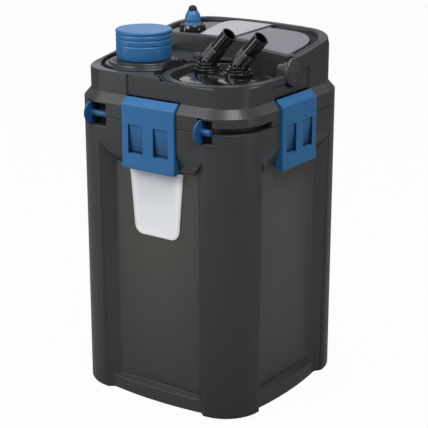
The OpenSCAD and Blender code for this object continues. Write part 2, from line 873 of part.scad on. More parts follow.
// Plan of the priming button, grown by g
module button_plan(g) {
    polygon(rounded(
        [
            [step_left_x - 29 - g * 1.2, housing_front_y + rim_w + 5 - g],
            [step_left_x - 2 - g, housing_front_y + rim_w + 2 - g],
            [step_right_x + 2 - g, housing_step_y + rim_w + 9 - g],
            [skin_reach - 30 + g, housing_step_y + rim_w + 3 - g],
            [skin_reach - 30 + g, skin_reach - 39.5 + g], [step_left_x - 10 - g * 0.8, skin_reach - 39.5 + g],
        ],
        [3, 6, 6, 6, column_r - 14, 3]));
}

// Well that the priming button sinks into
module priming_well() {
    difference() {
        translate([0, 0, deck_z])
            linear_extrude(far / 4)
                button_plan(part_gap);
        below_crown(tray_depth + primer_stroke + 4);
    }
    translate([primer_x, primer_y, deck_z - 20])
        cylinder(h = far / 4, r = primer_r + 2);
}

module head_base() {
    color(shell_grey)
        difference() {
            skin_block(spigot_low_z, spigot_low_z + 4, mouth_inset + 2 * wall + 0.2);
            translate([prefilter_x, prefilter_y, 0])
                cylinder(h = 2 * far, r = lid_r + 4 + wall + 0.1);
            translate([heater_x, heater_y, 0])
                cylinder(h = 2 * far, r = heater_r + 6 + wall + 0.1);
            translate([pump_x, pump_y, 0])
                cylinder(h = 2 * far, r = impeller_r + 8);
        }
}

module cable_gland() {
    color("dimgray")
        translate([-40, skin_reach - 30, flange_top_z + 18])
            rotate([-90, 0, 0])
                difference() {
                    union() {
                        cylinder(h = 22, r = 8);
                        translate([0, 0, 20])
                            cylinder(h = 4, r = 10);
                    }
                    translate([0, 0, -1])
                        cylinder(h = 30, r = 3.5);
                }
}

// --- clamps --------------------------------------------------------------------------

// One clamp on the -Y side, closed
module clamp_body() {
    face = clamp_reach;
    half = clamp_w / 2;
    top_o = skin_reach - flange_inset + 1.5;
    difference() {
        union() {
            // Plate with its bevelled top and flared lower lip
            translate([-half, 0, 0])
                rotate([90, 0, 90])
                    linear_extrude(clamp_w)
                        polygon([
                            [-top_o, flange_top_z + 0.8], [-face, flange_top_z - 8.5],
                            [-face, clamp_low_z + 14], [-face - 1.5, clamp_low_z + 4],
                            [-face - 0.5, clamp_low_z], [-face + 7, clamp_low_z],
                            [-face + clamp_t + 2, clamp_low_z + 6], [-face + clamp_t, clamp_low_z + 14],
                            [-face + clamp_t, flange_top_z - 9.5], [-top_o + 0.5, flange_top_z - 2.6],
                        ]);
            // Flanks that close the ends
            for (s = [-1, 1])
                translate([s * (half - 1.5) - 1.5, 0, 0])
                    rotate([90, 0, 90])
                        linear_extrude(3)
                            polygon([
                                [-top_o, flange_top_z + 0.8], [-face, flange_top_z - 8.5],
                                [-face, clamp_low_z + 2], [-face + 11, clamp_low_z],
                                [-face + 13, clamp_low_z + 30], [-recess_o - part_gap, clamp_pin_z - 20],
                                [-clamp_pin_o + 2, clamp_pin_z], [-top_o + 0.5, flange_top_z - 2.6],
                            ]);
            // Hinge knuckles
            for (x = [[-half + 1, -28.5], [-17.5, 17.5], [28.5, half - 1]]) {
                rod_x(x[0], x[1], -clamp_pin_o, clamp_pin_z, clamp_pin_r + 2.6);
                box(
                    [x[0], -face + 1, clamp_pin_z - 3.5],
                    [x[1], -clamp_pin_o, clamp_pin_z + clamp_pin_r + 2]);
            }
            // Hook that seats under the catch
            box([-recess_half + 9, -face + 1, clamp_low_z + 18], [recess_half - 9, -recess_o - 3, clamp_low_z + 24.5]);
            // Back of the window pockets
            for (s = [-1, 1])
                box(
                    [s * (window_gap + window_w / 2) - window_w / 2 - 1.5, -face + 1, clamp_low_z + 21],
                    [s * (window_gap + window_w / 2) + window_w / 2 + 1.5, -recess_o - 7.5, canister_h - 1]);
        }
        // Window pockets, deeper towards their lower end
        for (s = [-1, 1])
            translate([s * (window_gap + window_w / 2) - window_w / 2, 0, 0])
                rotate([90, 0, 90])
                    linear_extrude(window_w)
                        polygon([
                            [-face - 2, clamp_low_z + 21.5], [-face + 6.3, clamp_low_z + 21.5],
                            [-face + 6, clamp_low_z + 25], [-face + 2.2, canister_h - 3.5], [-face - 2, canister_h - 3],
                        ]);
        rod_x(-half - 1, half + 1, -clamp_pin_o, clamp_pin_z, clamp_pin_r + running_fit);
    }
}

module clamp_pins() {
    color("silver")
        for (q = sides)
            rotate(q)
                rod_x(-clamp_w / 2 + 2, clamp_w / 2 - 2, -clamp_pin_o, clamp_pin_z, clamp_pin_r);
}

module clamp_front() {
    color(blue)
        clamp_body();
}

module clamp_right() {
    color(blue)
        rotate(90)
            clamp_body();
}

module clamp_back() {
    color(blue)
        rotate(180)
            clamp_body();
}

module clamp_left() {
    color(blue)
        rotate(270)
            clamp_body();
}

// --- release knobs -------------------------------------------------------------------

// Domed thumb disc with its stem along X
module release_knob(x, y, stem) {
    color(blue)
        translate([x, y, knob_z])
            rotate([0, 90, 0]) {
                rotate_extrude()
                    polygon([
                        [0, -0.6], [knob_disc_r * 0.6, 0], [knob_disc_r - 1.5, 1.8], [knob_disc_r, 3.4],
                        [knob_disc_r, knob_disc_t - 1], [knob_disc_r - 1, knob_disc_t], [0, knob_disc_t],
                    ]);
                cylinder(h = stem, r = knob_stem_r);
            }
}

module release_knob_right() {
    release_knob(knob_right_x, knob_right_y, knob_stem_l);
}

module release_knob_left() {
    release_knob(knob_left_x, knob_left_y, knob_stem_l + knob_stem_extra);
}

// --- prefilter -----------------------------------------------------------------------

module prefilter_collar() {
    color(shell_grey)
        difference() {
            translate([prefilter_x, prefilter_y, collar_z])
                rotate_extrude()
                    polygon([
                        [lid_r + running_fit, 0], [collar_r, 0], [collar_r, 6.5], [collar_r - 1.5, 8],
                        [collar_r - 6, 8.4], [collar_r - 6.6, 10.5], [collar_r - 7.6, 11],
                        [lid_r + 3.5, 11.4], [lid_r + 2.5, collar_h], [lid_r + running_fit, collar_h],
                    ]);
            lever_room();
        }
}

// Space that the lever swings through beside the collar
module lever_room() {
    translate([bay_x, bay_y, 0])
        cylinder(h = 2 * far, r = lever_out_r + 2 * part_gap);
    box([arm_left_x - lever_w - 2 * part_gap, bay_y, 0], [arm_left_x, 60, 2 * far]);
}

module prefilter_knob() {
    groove = 1.1;
    h = prefilter_knob_h;
    r = prefilter_knob_r;
    color(blue)
        translate([prefilter_x, prefilter_y, knob_low_z])
            difference() {
                rotate_extrude()
                    polygon(concat(
                        [[0, 0], [r - 2, 0], [r - 0.6, 6]],
                        [for (g = [0.5, 0.7, 0.86], s = [[-1.4, 0], [0, groove], [1.4, 0]])
                            [r - 0.3 - s[1], h * g + s[0]]],
                        [[r, h - 1.6], [r - 1.6, h], [0, h]]));
                translate([0, 0, -1])
                    tube(0, h - 4, r - 4, 14);
                translate([0, 0, -1])
                    cylinder(h = 14, r = 10 + running_fit);
            }
}

module prefilter_lid() {
    color(shell_grey)
        translate([prefilter_x, prefilter_y, 0]) {
            translate([0, 0, lid_low_z])
                difference() {
                    cylinder(h = collar_h + 4, r = lid_r);
                    translate([0, 0, 4])
                        difference() {
                            cylinder(h = 3, r = lid_r + 1);
                            translate([0, 0, -1])
                                cylinder(h = 5, r = lid_r - 2);
                        }
                }
            translate([0, 0, collar_z + collar_h - 1])
                cylinder(h = 12, r = 10);
        }
}

module lid_seal() {
    color("black")
        translate([prefilter_x, prefilter_y, lid_low_z + 4])
            tube(0, 3, lid_r + running_fit / 2, lid_r - 2);
}

core_low_z = cavity_low_z + 20;
foam_pitch = (lid_low_z - core_low_z - 10) / foam_count;

module prefilter_core() {
    color("gray")
        translate([prefilter_x, prefilter_y, 0])
            difference() {
                union() {
                    translate([0, 0, core_low_z])
                        cylinder(h = 4, r = foam_r);
                    translate([0, 0, core_low_z])
                        cylinder(h = lid_low_z - core_low_z, r = 11);
                }
                translate([0, 0, core_low_z - 1])
                    cylinder(h = lid_low_z - core_low_z - 5, r = 8.5);
                for (i = [0:foam_count - 1], q = [0, 90])
                    translate([0, 0, core_low_z + 10 + i * foam_pitch])
                        rotate(q)
                            box([-3, -20, 8], [3, 20, foam_pitch - 12]);
            }
}

module prefilter_foams() {
    color("orange")
        translate([prefilter_x, prefilter_y, core_low_z + 4])
            for (i = [0:foam_count - 1])
                translate([0, 0, i * foam_pitch + 1])
                    tube(0, foam_pitch - 2, foam_r, 11.4);
}

module prefilter_tube() {
    color("gray")
        translate([prefilter_x, prefilter_y, 0])
            difference() {
                tube(cavity_low_z, spigot_low_z - 1, lid_r + 3.5, lid_r + 1);
                for (q = [20:40:340])
                    rotate(q)
                        box([-4, 0, cavity_low_z + 12], [4, far / 4, cavity_low_z + 60]);
            }
}

// --- hose unit -----------------------------------------------------------------------

module hose_adapter() {
    color(gloss_black)
        difference() {
            union() {
                translate([bay_x, bay_y, bay_z + 0.6])
                    rotate_extrude()
                        polygon([
                            [0, 0], [adapter_r, 0], [adapter_r, 8], [adapter_r - 3, 11],
                            [adapter_r - 14, 13.5], [0, 14.5],
                        ]);
                for (x = [inlet_x, outlet_x])
                    translate([x, elbow_y, 0]) {
                        translate([0, 0, bay_z - wall - 12])
                            cylinder(h = adapter_z - bay_z + wall + 12, r = port_r);
                        translate([0, 0, bay_z + 5])
                            cylinder(h = adapter_z - bay_z - 5, r = 20);
                        // Toothed ring around the elbow foot
                        translate([0, 0, adapter_z - 0.5]) {
                            tube(0, 5, 16.5, 13.5);
                            for (q = [0:20:340])
                                rotate(q)
                                    box([16, -1.2, 0], [17.6, 1.2, 4.4]);
                        }
                    }
                box(
                    [inlet_x, elbow_y - 16, bay_z + 5],
                    [outlet_x, elbow_y + 16, adapter_z - 3]);
            }
            for (x = [inlet_x, outlet_x])
                translate([x, elbow_y, 0]) {
                    translate([0, 0, bay_z - wall - 13])
                        cylinder(h = far, r = tail_bore_r + 0.4);
                    translate([0, 0, adapter_z - 5.4])
                        cylinder(h = far, r = elbow_foot_r + running_fit);
                    translate([0, 0, bay_z - wall - 8])
                        difference() {
                            cylinder(h = 2.4, r = port_r + 1);
                            translate([0, 0, -1])
                                cylinder(h = 5, r = port_r - 1.8);
                        }
                }
        }
}

module adapter_seals() {
    color("black")
        for (x = [inlet_x, outlet_x])
            translate([x, elbow_y, bay_z - wall - 8])
                tube(0, 2.4, port_r + running_fit / 2, port_r - 1.8);
}

// Swivel elbow: foot, lock ring, bend and an arm that leans towards +X
module elbow(x) {
    rib = (sleeve_l - 4) / sleeve_ribs;
    color(gloss_black)
        translate([x, elbow_y, adapter_z])
            difference() {
                union() {
                    translate([0, 0, -5])
                        cylinder(h = elbow_rise + 5, r = elbow_foot_r);
                    cylinder(h = 3.6, r = 13);
                    translate([0, 0, 5.2])
                        cylinder(h = 2.8, r = 14.2);
                    translate([0, 0, elbow_rise])
                        sphere(r = elbow_foot_r + 0.7);
                    translate([0, 0, elbow_rise])
                        rotate([0, elbow_lean, 0]) {
                            cylinder(h = tail_l, r = tail_r);
                            rotate_extrude()
                                polygon(concat(
                                    [[0, 0], [sleeve_r - 1.4, 0]],
                                    [for (i = [0:sleeve_ribs - 1], s = [[0, 0.2], [1, 0.35], [1, 0.7], [0, 0.85]])
                                        [sleeve_r - 1.2 + s[0] * 1.2, 2 + (i + s[1]) * rib]],
                                    [[sleeve_r - 1.2, sleeve_l - 1], [tail_r - 1, sleeve_l + 1], [0, sleeve_l + 1]]));
                        }
                }
                translate([0, 0, -9])
                    cylinder(h = elbow_rise + 9, r = foot_bore_r);
                translate([0, 0, elbow_rise])
                    sphere(r = foot_bore_r + 0.25);
                translate([0, 0, elbow_rise])
                    rotate([0, elbow_lean, 0])
                        cylinder(h = tail_l + 1, r = tail_bore_r);
            }
}

module elbow_inlet() {
    elbow(inlet_x);
}

module elbow_outlet() {
    elbow(outlet_x);
}

// --- locking lever -------------------------------------------------------------------

module locking_lever() {
    color(shell_grey)
        difference() {
            union() {
                // Front half ring
                intersection() {
                    translate([bay_x, bay_y, 0])
                        tube(lever_z, lever_z + lever_t, lever_out_r, lever_in_r);
                    box([-far, -far, lever_z - 1], [far, bay_y, lever_z + lever_t + 1]);
                }
                // Arms and pivot bosses
                for (x = [arm_right_x, arm_left_x - lever_w]) {
                    box([x, bay_y, lever_z], [x + lever_w, lever_pivot_y - 6, lever_z + lever_t]);
                    rod_x(x, x + lever_w, lever_pivot_y, lever_pivot_z, x > bay_x ? lever_boss_r : lug_r);
                }
                box(
                    [arm_left_x - lever_w, lever_pivot_y - 14, lever_z],
                    [arm_left_x, lever_pivot_y, lever_pivot_z]);
                // Hub disc on the outer side
                translate([arm_right_x + lever_w, lever_pivot_y, lever_pivot_z])
                    rotate([0, 90, 0])
                        rotate_extrude()
                            polygon([
                                [0, 0], [hub_r, 0], [hub_r, 3.5], [hub_r - 1.5, 5],
                                [hub_r - 3, 5.4], [hub_r - 4, 4.6], [hub_r - 5, 5.6],
                                [0, hub_face_x - arm_right_x - lever_w],
                            ]);
            }
            rod_x(arm_right_x - 1, arm_right_x + lever_w - 2, lever_pivot_y, lever_pivot_z, lever_pin_r + running_fit);
            rod_x(arm_left_x - lever_w + 2, arm_left_x + 1, lever_pivot_y, lever_pivot_z, lever_pin_r + running_fit);
            for (p = [[-1, 4.5], [3, -4.5]])
                rod_x(hub_face_x - 3, hub_face_x + 2, lever_pivot_y + p[0], lever_pivot_z + p[1], 1.8);
        }
}

module lever_pins() {
    color("dimgray") {
        rod_x(arm_right_x - 9, arm_right_x + lever_w - 3, lever_pivot_y, lever_pivot_z, lever_pin_r);
        rod_x(arm_left_x - lever_w + 3, arm_left_x + 9, lever_pivot_y, lever_pivot_z, lever_pin_r);
    }
}

// --- heater --------------------------------------------------------------------------

module heater_base() {
    color("gray")
        translate([heater_x, heater_y, heater_seat_z])
            difference() {
                rotate_extrude()
                    polygon([
                        [0, 0], [heater_boss_r, 0], [heater_boss_r, 5], [heater_boss_r - 1.5, 10],
                        [heater_boss_r - 2.5, 11.5], [heater_boss_r - 4, 11.5],
                        [heater_boss_r - 5.5, dish_floor_z - heater_seat_z], [0, dish_floor_z - heater_seat_z],
                    ]);
                translate([0, 0, -1])
                    cylinder(h = 20, r = spindle_r);
            }
}

module heater_dial() {
    color(blue)
        translate([heater_x, heater_y, dial_low_z])
            difference() {
                union() {
                    rotate_extrude()
                        polygon([
                            [0, 0], [dial_r - 1, 0], [dial_r - 0.5, 1], [dial_r - 0.5, 6], [dial_r - 2, 7],
                            [dial_r - 2, 8], [dial_r - 0.3, 9], [dial_r - 2.4, dial_h * 0.78],
                            [dial_r - 5, dial_h], [0, dial_h],
                        ]);
                    for (i = [0:dial_ribs - 1])
                        rotate(i * 360 / dial_ribs)
                            translate([dial_r - 0.9, 0, 9.5])
                                rotate([0, -13, 0])
                                    cylinder(h = dial_h * 0.35, r = 0.9, $fn = 16);
                }
                translate([0, 0, -1])
                    cylinder(h = dial_h + 2, r = spindle_r + running_fit);
            }
}

// Black cable outlet on top of the dial; its spindle runs down into the heater
module heater_gland() {
    color("black")
        translate([heater_x, heater_y, 0]) {
            translate([0, 0, heater_seat_z])
                cylinder(h = dial_low_z + dial_h + 2 - heater_seat_z, r = spindle_r);
            translate([0, 0, dial_low_z + dial_h + 0.6])
                rotate_extrude()
                    polygon([[0, 0], [dial_r - 5.8, 0], [dial_r - 6.2, 3], [dial_r - 7.8, 5.6], [dial_r - 9.8, 6.8], [0, 7]]);
        }
}

module heater_tube() {
    color("silver")
        translate([heater_x, heater_y, cavity_low_z + 60])
            cylinder(h = heater_seat_z - cavity_low_z - 60, r = heater_r);
}

// --- crowned top ---------------------------------------------------------------------

// Curved plate under the crown, from drop to drop + t
module crown_plate(drop, t) {
    difference() {
        intersection() {
            translate([0, 0, deck_z])
                linear_extrude(far / 4)
                    children();
            below_crown(drop);
        }
        below_crown(drop + t);
    }
}

module gloss_panel() {
    color("lightgray")
        crown_plate(0.6, tray_depth - 0.6)
            polygon(rounded(
                [
                    [heater_x + 26, housing_front_y + rim_w + 2], [step_left_x - 37, housing_front_y + rim_w + 2],
                    [step_left_x - 12.5, skin_reach - 25.5], [heater_x + 24, skin_reach - 25.5],
                ],
                [5, 1, 2, 24]));
}

module panel_rib() {
    color(shell_grey)
        crown_plate(0, tray_depth)
            polygon([
                [step_left_x - 35.5, housing_front_y + rim_w + 1.5], [step_left_x - 31, housing_front_y + rim_w + 1.5],
                [step_left_x - 11.5, skin_reach - 37.5], [step_left_x - 7.5, skin_reach - 25.5],
                [step_left_x - 12, skin_reach - 25.5],
            ]);
}

module priming_button() {
    color("gray") {
        crown_plate(0.8, 3)
            button_plan(0);
        difference() {
            translate([primer_x, primer_y, plunger_low_z])
                cylinder(h = far / 8, r = primer_r);
            difference() {
                translate([primer_x, primer_y, plunger_low_z - 1])
                    cylinder(h = far / 4, r = primer_r + 1);
                below_crown(2);
            }
        }
    }
}

module priming_cylinder() {
    color("dimgray")
        translate([primer_x, primer_y, 0])
            difference() {
                translate([0, 0, primer_floor_z - 2])
                    cylinder(h = deck_z + 8 - primer_floor_z + 2, r = primer_r + 1.9);
                translate([0, 0, primer_floor_z])
                    cylinder(h = far, r = primer_r + running_fit);
            }
}

// Return spring between the cylinder floor and the plunger, one unbroken tube
module priming_spring() {
    steps = 12;
    low = primer_floor_z + spring_wire_r + 0.05;
    rise = (plunger_low_z - primer_floor_z - 2 * spring_wire_r - 0.1) / spring_turns;
    n = spring_turns * steps;
    ring = [for (k = [0:5]) spring_wire_r * [cos(60 * k), sin(60 * k)]];
    points = [for (i = [0:n], p = ring)
        let (a = i * 360 / steps)
        [(spring_r + p[0]) * cos(a), (spring_r + p[0]) * sin(a), low + rise * i / steps + p[1]]];
    walls = [for (i = [0:n - 1], k = [0:5], t = [0, 1])
        let (a = i * 6 + k, b = i * 6 + (k + 1) % 6)
        t == 0 ? [a, b + 6, b] : [a, a + 6, b + 6]];
    ends = [[for (k = [0:5]) k], [for (k = [5:-1:0]) n * 6 + k]];
    echo(spring_least_gap = rise - 2 * spring_wire_r);
    color("silver")
        translate([primer_x, primer_y, 0])
            polyhedron(points, concat(walls, ends));
}

// --- pump ----------------------------------------------------------------------------

casing_low_z = spigot_low_z + 4;
casing_r = impeller_r + 5;
can_r = rotor_r + 3.5;

module motor_stator() {
    color("dimgray")
        translate([pump_x, pump_y, 0])
            tube(rotor_low_z + 6, rotor_low_z + 6 + stator_h, stator_r, can_r + 0.1);
}

module pump_casing() {
    low = casing_low_z;
    shelf = rotor_low_z + 4;
    top = rotor_low_z + 6 + stator_h;
    color("gray")
        translate([pump_x, pump_y, 0])
            difference() {
                rotate_extrude()
                    polygon([
                        [casing_r - 2, low], [casing_r, low], [casing_r, shelf], [can_r, shelf + 1], [can_r, top],
                        [0, top], [0, top - 2], [can_r - 2, top - 2], [can_r - 2, shelf - 2], [casing_r - 2, shelf - 2],
                    ]);
                rotate(duct_angle)
                    translate([0, 0, duct_z])
                        rotate([0, 90, 0])
                            cylinder(h = far / 4, r = 7);
            }
}

duct_z = spigot_low_z + 15;
duct_angle = atan2(elbow_y - pump_y, outlet_x - pump_x);
duct_len = norm([elbow_y - pump_y, outlet_x - pump_x]);

// Upright socket under the bay with a side pipe that starts at from_r and ends at its bore
module duct(x, y, angle, start, end) {
    difference() {
        union() {
            translate([x, y, duct_z - 10])
                cylinder(h = bay_z - wall - duct_z + 10, r = port_r + 3);
            translate([x, y, duct_z])
                rotate([0, 90, angle])
                    translate([0, 0, start])
                        cylinder(h = end - start, r = 9);
        }
        translate([x, y, duct_z - 7.5])
            cylinder(h = far, r = tail_bore_r + 0.4);
        translate([x, y, bay_z - wall - 13])
            cylinder(h = far, r = port_r + running_fit);
        translate([x, y, duct_z])
            rotate([0, 90, angle])
                cylinder(h = end + 1, r = 7);
    }
}

module outlet_duct() {
    color("gray")
        duct(outlet_x, elbow_y, duct_angle + 180, 8, duct_len - casing_r);
}

inlet_angle = atan2(prefilter_y - elbow_y, prefilter_x - inlet_x);
inlet_len = norm([prefilter_y - elbow_y, prefilter_x - inlet_x]);

module inlet_duct() {
    color("gray")
        duct(inlet_x, elbow_y, inlet_angle, 8, inlet_len - lid_r - 4 - wall);
}

module impeller() {
    color("black")
        translate([pump_x, pump_y, 0])
            difference() {
                union() {
                    translate([0, 0, casing_low_z + 4])
                        cylinder(h = 3, r = impeller_r);
                    for (i = [0:blade_count - 1])
                        rotate(i * 360 / blade_count)
                            intersection() {
                                translate([0, 0, casing_low_z + 6])
                                    cylinder(h = 13, r = impeller_r - 0.6);
                                translate([12, -16, casing_low_z + 5])
                                    tube(0, 15, 17, 15);
                                box([5, -20, 0], [40, 3, far * 2]);
                            }
                    translate([0, 0, casing_low_z + 4])
                        cylinder(h = rotor_low_z - casing_low_z, r = 6.5);
                    translate([0, 0, rotor_low_z + 4])
                        cylinder(h = stator_h - 8, r = rotor_r);
                }
                translate([0, 0, casing_low_z])
                    cylinder(h = far, r = shaft_r + running_fit);
            }
}

module impeller_shaft() {
    color("white")
        translate([pump_x, pump_y, casing_low_z - 2])
            cylinder(h = rotor_low_z + 2 + stator_h - casing_low_z + 2, r = shaft_r);
}

module shaft_bushes() {
    color("black")
        translate([pump_x, pump_y, 0]) {
            tube(casing_low_z - 1, casing_low_z + 2.6, 4.5, shaft_r);
            tube(rotor_low_z + stator_h - 2, rotor_low_z + stator_h + 3.9, 4.5, shaft_r);
        }
}

module impeller_cover() {
    color("gray")
        translate([pump_x, pump_y, 0])
            difference() {
                union() {
                    translate([0, 0, spigot_low_z])
                        cylinder(h = 4, r = impeller_r + 7.8);
                    translate([0, 0, casing_low_z - 1])
                        cylinder(h = 3, r = casing_r - 2.2);
                }
                for (q = [0:60:300])
                    rotate(q)
                        translate([10, 0, spigot_low_z - 1])
                            cylinder(h = 12, r = 3.6);
                translate([0, 0, casing_low_z - 2.2])
                    cylinder(h = 12, r = 4.5);
            }
}

// --- media baskets -------------------------------------------------------------------

basket_right_x = skin_reach - mouth_inset - ledge_w - 2.5;
basket_half = skin_reach - mouth_inset - ledge_w - basket_mouth_gap;
basket_corner_r = column_r - basket_corner_step;

// Plan of a basket, drawn in by g
module basket_plan(g) {
    polygon(rounded(
        [
            [basket_left_x + g, -basket_half + g], [basket_right_x - g, -basket_half + g],
            [basket_right_x - g, basket_half - g], [basket_left_x + g, basket_half - g],
        ],
        [5 - g, basket_corner_r - g, basket_corner_r - g, 5 - g]));
}

module basket(i) {
    w = basket_right_x - basket_left_x;
    pitch = w / basket_slots;
    z = basket_low_z + i * basket_h;
    color("dimgray")
        difference() {
            translate([0, 0, z])
                linear_extrude(basket_h - 1)
                    basket_plan(0);
            translate([0, 0, z + 4])
                linear_extrude(basket_h)
                    basket_plan(basket_wall);
            for (k = [0:basket_slots - 1], s = [-1, 1])
                translate([basket_left_x + (k + 0.5) * pitch, s * basket_half / 2, z - 1])
                    box([-pitch * 0.3, -basket_half * 0.42, 0], [pitch * 0.3, basket_half * 0.42, 8]);
        }
}

module media(i) {
    z = basket_low_z + i * basket_h;
    color("orange")
        translate([0, 0, z + 4])
            linear_extrude(basket_h - 18)
                basket_plan(basket_wall + 1);
}

module basket_1() { basket(0); }
module basket_2() { basket(1); }
module basket_3() { basket(2); }
module basket_4() { basket(3); }
module media_1() { media(0); }
module media_2() { media(1); }
module media_3() { media(2); }
module media_4() { media(3); }

canister();
feet();
badge_plate();
head_gasket();
head_shell();
head_base();
cable_gland();
clamp_front();
clamp_right();
clamp_back();
clamp_left();
clamp_pins();
release_knob_right();
release_knob_left();
prefilter_collar();
prefilter_knob();
prefilter_lid();
prefilter_core();
prefilter_foams();
prefilter_tube();
lid_seal();
hose_adapter();
adapter_seals();
elbow_inlet();
elbow_outlet();
locking_lever();
lever_pins();
heater_base();
heater_dial();
heater_gland();
heater_tube();
gloss_panel();
panel_rib();
priming_button();
priming_cylinder();
priming_spring();
motor_stator();
pump_casing();
impeller();
impeller_shaft();
shaft_bushes();
impeller_cover();
inlet_duct();
outlet_duct();
basket_1();
basket_2();
basket_3();
basket_4();
media_1();
media_2();
media_3();
media_4();
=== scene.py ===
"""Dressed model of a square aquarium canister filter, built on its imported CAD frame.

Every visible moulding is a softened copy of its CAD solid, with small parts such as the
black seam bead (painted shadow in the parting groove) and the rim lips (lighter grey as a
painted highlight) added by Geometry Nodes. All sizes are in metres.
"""

from __future__ import annotations

import json
import logging
import math
from dataclasses import dataclass, field
from enum import Enum
from typing import Callable, Optional, Sequence, Union

import bmesh
import bpy
from mathutils import Matrix, Vector

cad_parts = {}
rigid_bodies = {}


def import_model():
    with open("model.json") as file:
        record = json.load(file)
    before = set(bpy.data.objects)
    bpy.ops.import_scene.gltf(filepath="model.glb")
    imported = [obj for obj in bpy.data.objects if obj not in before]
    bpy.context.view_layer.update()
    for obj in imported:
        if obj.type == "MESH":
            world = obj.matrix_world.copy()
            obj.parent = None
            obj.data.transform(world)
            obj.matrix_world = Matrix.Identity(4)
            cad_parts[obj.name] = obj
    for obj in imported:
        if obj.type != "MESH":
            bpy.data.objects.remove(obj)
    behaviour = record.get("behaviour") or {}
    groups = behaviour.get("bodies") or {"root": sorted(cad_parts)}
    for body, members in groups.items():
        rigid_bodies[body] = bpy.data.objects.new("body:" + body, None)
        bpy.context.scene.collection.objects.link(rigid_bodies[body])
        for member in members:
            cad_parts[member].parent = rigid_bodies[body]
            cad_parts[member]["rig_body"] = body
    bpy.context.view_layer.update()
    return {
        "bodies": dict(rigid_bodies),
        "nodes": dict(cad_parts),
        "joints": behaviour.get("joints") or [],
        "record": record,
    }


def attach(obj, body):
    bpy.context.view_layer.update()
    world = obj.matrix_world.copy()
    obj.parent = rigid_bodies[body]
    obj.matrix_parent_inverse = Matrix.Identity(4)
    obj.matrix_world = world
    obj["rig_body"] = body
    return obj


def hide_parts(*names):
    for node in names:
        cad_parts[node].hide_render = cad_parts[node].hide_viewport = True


LOG = logging.getLogger("canister_filter")
Number = Union[int, float]
Colour = tuple[float, float, float]
Point = tuple[float, float, float]


def srgb(red: int, green: int, blue: int) -> Colour:
    """Turns a display colour into the linear colour that shaders take.

    Args:
        red: Red channel, 0 to 255.
        green: Green channel, 0 to 255.
        blue: Blue channel, 0 to 255.

    Returns:
        The three linear channels.
    """

    def channel(value: int) -> float:
        """Linear value of one channel.

        Args:
            value: Channel value, 0 to 255.

        Returns:
            The linear value.
        """
        part = value / 255.0
        return part / 12.92 if part <= 0.04045 else ((part + 0.055) / 1.055) ** 2.4

    return channel(red), channel(green), channel(blue)


# --------------------------------------------------------------------------------------
# Shader maths
# --------------------------------------------------------------------------------------


class NodeBuilder:
    """Adds nodes to a tree, with a single way to set up any of them."""

    def __init__(self, tree: bpy.types.NodeTree) -> None:
        """Keeps the tree.

        Args:
            tree: The tree that the nodes go into.
        """
        self.tree = tree

    def node(
        self,
        kind: str,
        settings: Optional[dict[str, object]] = None,
        inputs: Optional[dict[Union[str, int], object]] = None,
    ) -> bpy.types.Node:
        """Adds a node, sets it up and fills its sockets.

        Args:
            kind: The node's type name.
            settings: Properties that are set before the sockets.
            inputs: Values, Signals or sockets for the node's inputs, by name or index.

        Returns:
            The new node.
        """
        made = self.tree.nodes.new(kind)
        for key, value in (settings or {}).items():
            setattr(made, key, value)
        for key, value in (inputs or {}).items():
            if isinstance(value, Signal):
                value = value.socket
            if isinstance(value, bpy.types.NodeSocket):
                self.tree.links.new(value, made.inputs[key])
            else:
                made.inputs[key].default_value = value
        return made


class Graph(NodeBuilder):
    """One material's node tree."""

    def __init__(self, name: str) -> None:
        """Starts an empty material.

        Args:
            name: Name of the material.
        """
        self.made = bpy.data.materials.new(name)
        self.made.use_nodes = True
        super().__init__(self.made.node_tree)
        self.tree.nodes.clear()

    def signal(self, socket: bpy.types.NodeSocket) -> "Signal":
        """Wraps a socket for arithmetic.

        Args:
            socket: An output socket.

        Returns:
            The signal.
        """
        return Signal(self, socket)

    def position(self) -> tuple["Signal", "Signal", "Signal"]:
        """Object coordinates of the shaded point, as three signals.

        Returns:
            X, Y and Z.
        """
        coordinates = self.node("ShaderNodeTexCoord")
        split = self.node("ShaderNodeSeparateXYZ", inputs={0: coordinates.outputs["Object"]})
        return tuple(self.signal(split.outputs[axis]) for axis in "XYZ")

    def upward(self) -> "Signal":
        """How far the surface faces upwards, 1 for a level top.

        Returns:
            The Z part of the normal.
        """
        geometry = self.node("ShaderNodeNewGeometry")
        split = self.node("ShaderNodeSeparateXYZ", inputs={0: geometry.outputs["Normal"]})
        return self.signal(split.outputs["Z"])

    def noise(self, scale: float, detail: float = 2.0) -> "Signal":
        """Grey noise on Object coordinates.

        Args:
            scale: Waves per metre.
            detail: Octaves.

        Returns:
            The noise value, 0 to 1.
        """
        coordinates = self.node("ShaderNodeTexCoord")
        noise = self.node(
            "ShaderNodeTexNoise",
            inputs={"Vector": coordinates.outputs["Object"], "Scale": scale, "Detail": detail},
        )
        return self.signal(noise.outputs["Fac"])

    def mix(self, factor: "Signal", first: object, second: object) -> "Signal":
        """Blends two colours.

        Args:
            factor: 0 gives the first colour, 1 the second.
            first: Colour or Signal.
            second: Colour or Signal.

        Returns:
            The blended colour.
        """
        made = self.node("ShaderNodeMix", {"data_type": "RGBA", "clamp_factor": True})
        sockets = [s for s in made.inputs if s.type == "RGBA"]
        for socket, value in zip(sockets, (first, second)):
            if isinstance(value, Signal):
                self.tree.links.new(value.socket, socket)
            else:
                socket.default_value = (*value, 1.0)
        self.tree.links.new(factor.socket, made.inputs[0])
        return self.signal([s for s in made.outputs if s.type == "RGBA"][0])

    def finish(self, shader: bpy.types.NodeSocket) -> bpy.types.Material:
        """Connects the surface shader and returns the material.

        Args:
            shader: Output of the surface shader.

        Returns:
            The material.
        """
        self.node("ShaderNodeOutputMaterial", inputs={"Surface": shader})
        return self.made


